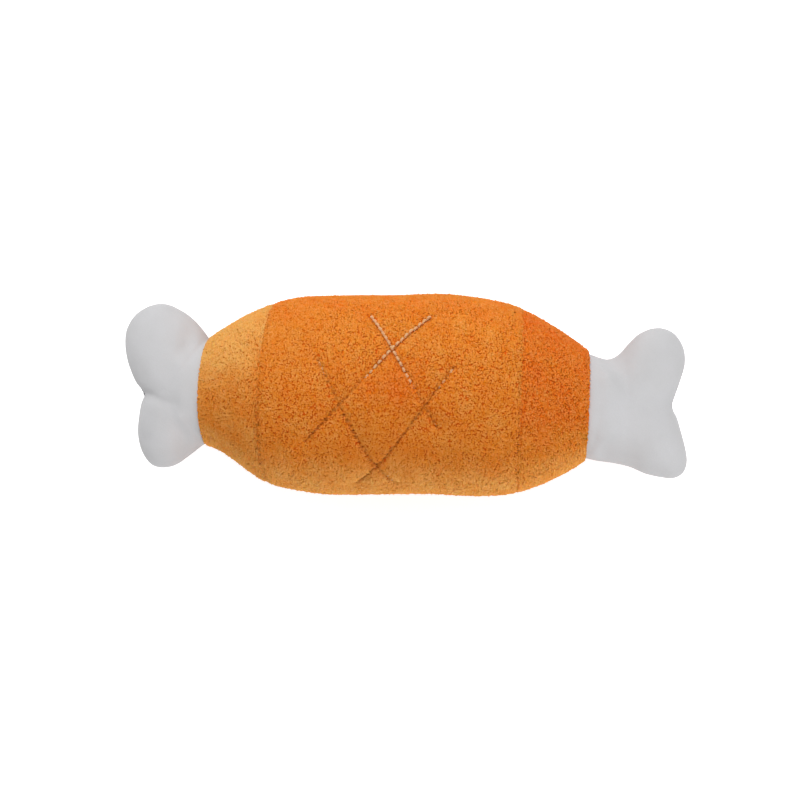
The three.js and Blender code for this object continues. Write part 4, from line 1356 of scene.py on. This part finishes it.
def path_row(outline, middle):
    """Flat places of stitches sunk in a knob's seam, with the way along it and the way outwards."""
    path = smooth_path(outline, path_steps)
    steps = np.concatenate([[0], np.cumsum(np.linalg.norm(np.diff(path, axis=0), axis=1))])
    count = round(steps[-1] / bone_pitch)
    run = (np.arange(count) + 0.5) / count * steps[-1]
    behind, flat, ahead = (
        np.stack([np.interp(run + shift, steps, path[:, k]) for k in (0, 1)] + [np.zeros(count)], axis=-1)
        for shift in (-mm / 2, 0, mm / 2)
    )
    along = (ahead - behind) / np.linalg.norm(ahead - behind, axis=1, keepdims=True)
    up = np.cross(along, np.array([0, 0, 1.0]))
    up *= np.sign((up * (flat - np.array([middle, 0, 0]))).sum(axis=1))[:, None]
    return flat - up * bone_seam_depth * stitch_sink, along, up


white_thread = sewing_thread("white_thread", white_thread_colour, white_thread_colour, gloss=0.8)

for side, sign, forms, flatness, outline, creases in (
    ("left", -1, left_forms, left_flatness, left_outline, left_creases),
    ("right", 1, right_forms, right_flatness, right_outline, right_creases),
):
    # Outwards is -X on the left, so the knob is mirrored there, not turned.
    ring = Vector((barrel_x + sign * ring_x, 0, axis_z))
    pieces = []
    for face, facing, face_creases in (("front", 1, creases), ("back", -1, [])):
        name = f"{side}_bone_{face}_fleece"
        cloth = bone_cloth(name, forms, flatness, outline, face_creases, facing)
        cloth.data.transform(Matrix.Translation(ring) @ Matrix.Diagonal((sign, 1, 1, 1)))
        if sign < 0:
            cloth.data.flip_normals()
        stand_for(f"{side}_bone_{face}")
        pieces.append(cloth)
    spots, along, up = (row * np.array([sign, 1, 1]) for row in path_row(outline, forms[0][0] * mm))
    length = stitch_share * bone_pitch
    thread = sew(f"{side}_bone_stitches", spots + np.array(ring), along, up, length, white_thread)
    stand_for(f"{side}_bone_seam_thread")
    wad = wad_piece(f"{side}_bone_stuffing", f"{side}_bone_filling")
    for piece in (*pieces, thread, wad):
        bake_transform(piece)

bpy.data.objects.remove(stitch)
for tuft in list(tufts.objects):
    bpy.data.objects.remove(tuft)
bpy.data.collections.remove(tufts)

# Studio: the toy lies on a plain white floor under a wide soft lamp from the photo's upper side, with an
# even surround. The camera looks down at it from above, turned a little as the photo is.
floor_half = 3.0
floor_colour = (238, 238, 238)
floor_glow = 0.58  # added where the camera sees the floor, so that it reads white away from the shadow
surround = 0.61
lamps = [  # each with its place, its width and its power
    ("soft_lamp", (-0.06, 0.62, 0.94), 0.9, 8.2),
    ("low_lamp", (0.45, -0.75, 0.12), 0.7, 4.5),
]
camera_distance = 0.506
camera_tilt = math.radians(4.5)  # towards the right knob
camera_roll = math.radians(2.2)  # the photo shows the right knob a little lower
frame_width = 0.300  # what the picture's width takes in at the toy's middle plane
aim = Vector((barrel_x + 1.6 * mm, -0.4 * mm, axis_z))


def seen_directly(tree, *rays):
    """1 for the camera's own rays and for others named here, and 0 for the light that they gather."""
    path = add_node(tree, "ShaderNodeLightPath").outputs
    seen = path["Is Camera Ray"]
    for ray in rays:
        seen = add_maths(tree, "MAXIMUM", seen, path[ray])
    return seen


floor_mesh = bpy.data.meshes.new("floor")
corners = [(x * floor_half, y * floor_half, 0) for x, y in ((-1, -1), (1, -1), (1, 1), (-1, 1))]
floor_mesh.from_pydata(corners, [], [(0, 1, 2, 3)])
floor = show("floor", floor_mesh)
material, tree = new_material("floor_paper")
give_looks(material, {"Base Color": paint(floor_colour), "Roughness": 0.9, "Specular IOR Level": 0.0})
seen = seen_directly(tree, "Is Glossy Ray", "Is Transmission Ray")
strength = add_maths(tree, "MULTIPLY", seen, floor_glow)
glow = add_node(tree, "ShaderNodeEmission", {"Color": (1, 1, 1, 1), "Strength": strength})
paper = tree.nodes["Principled BSDF"]
both = add_node(tree, "ShaderNodeAddShader", {0: paper.outputs[0], 1: glow.outputs[0]})
set_inputs(tree.nodes["Material Output"], {"Surface": both.outputs[0]})
floor_mesh.materials.append(material)
floor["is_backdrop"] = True

world = bpy.data.worlds.new("surround")
bpy.context.scene.world = world
world.use_nodes = True
tree = world.node_tree
level = {0: seen_directly(tree, "Is Transmission Ray"), 2: surround, 3: 1.0}
strength = add_node(tree, "ShaderNodeMix", level).outputs[0]
set_inputs(tree.nodes["Background"], {"Color": (1, 1, 1, 1), "Strength": strength})

for name, place, size, power in lamps:
    lamp_data = bpy.data.lights.new(name, "AREA")
    lamp_data.shape = "DISK"
    lamp_data.size = size
    lamp_data.energy = power
    lamp = show(name, lamp_data)
    lamp.location = place
    lamp.rotation_euler = (aim - Vector(place)).to_track_quat("-Z", "Y").to_euler()

camera_data = bpy.data.cameras.new("camera")
camera_data.sensor_width = 0.036 / mm
camera_data.lens = camera_data.sensor_width * camera_distance / frame_width
camera = show("camera", camera_data)
back = Vector((math.sin(camera_tilt), 0, math.cos(camera_tilt)))
right = Vector((math.cos(camera_roll), math.sin(camera_roll), 0))
right = (right - back * right.dot(back)).normalized()
turned = Matrix((right, back.cross(right), back)).transposed()
camera.matrix_world = Matrix.Translation(aim + back * camera_distance) @ turned.to_4x4()
bpy.context.scene.camera = camera
bpy.context.scene.view_settings.view_transform = "Standard"

low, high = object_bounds()
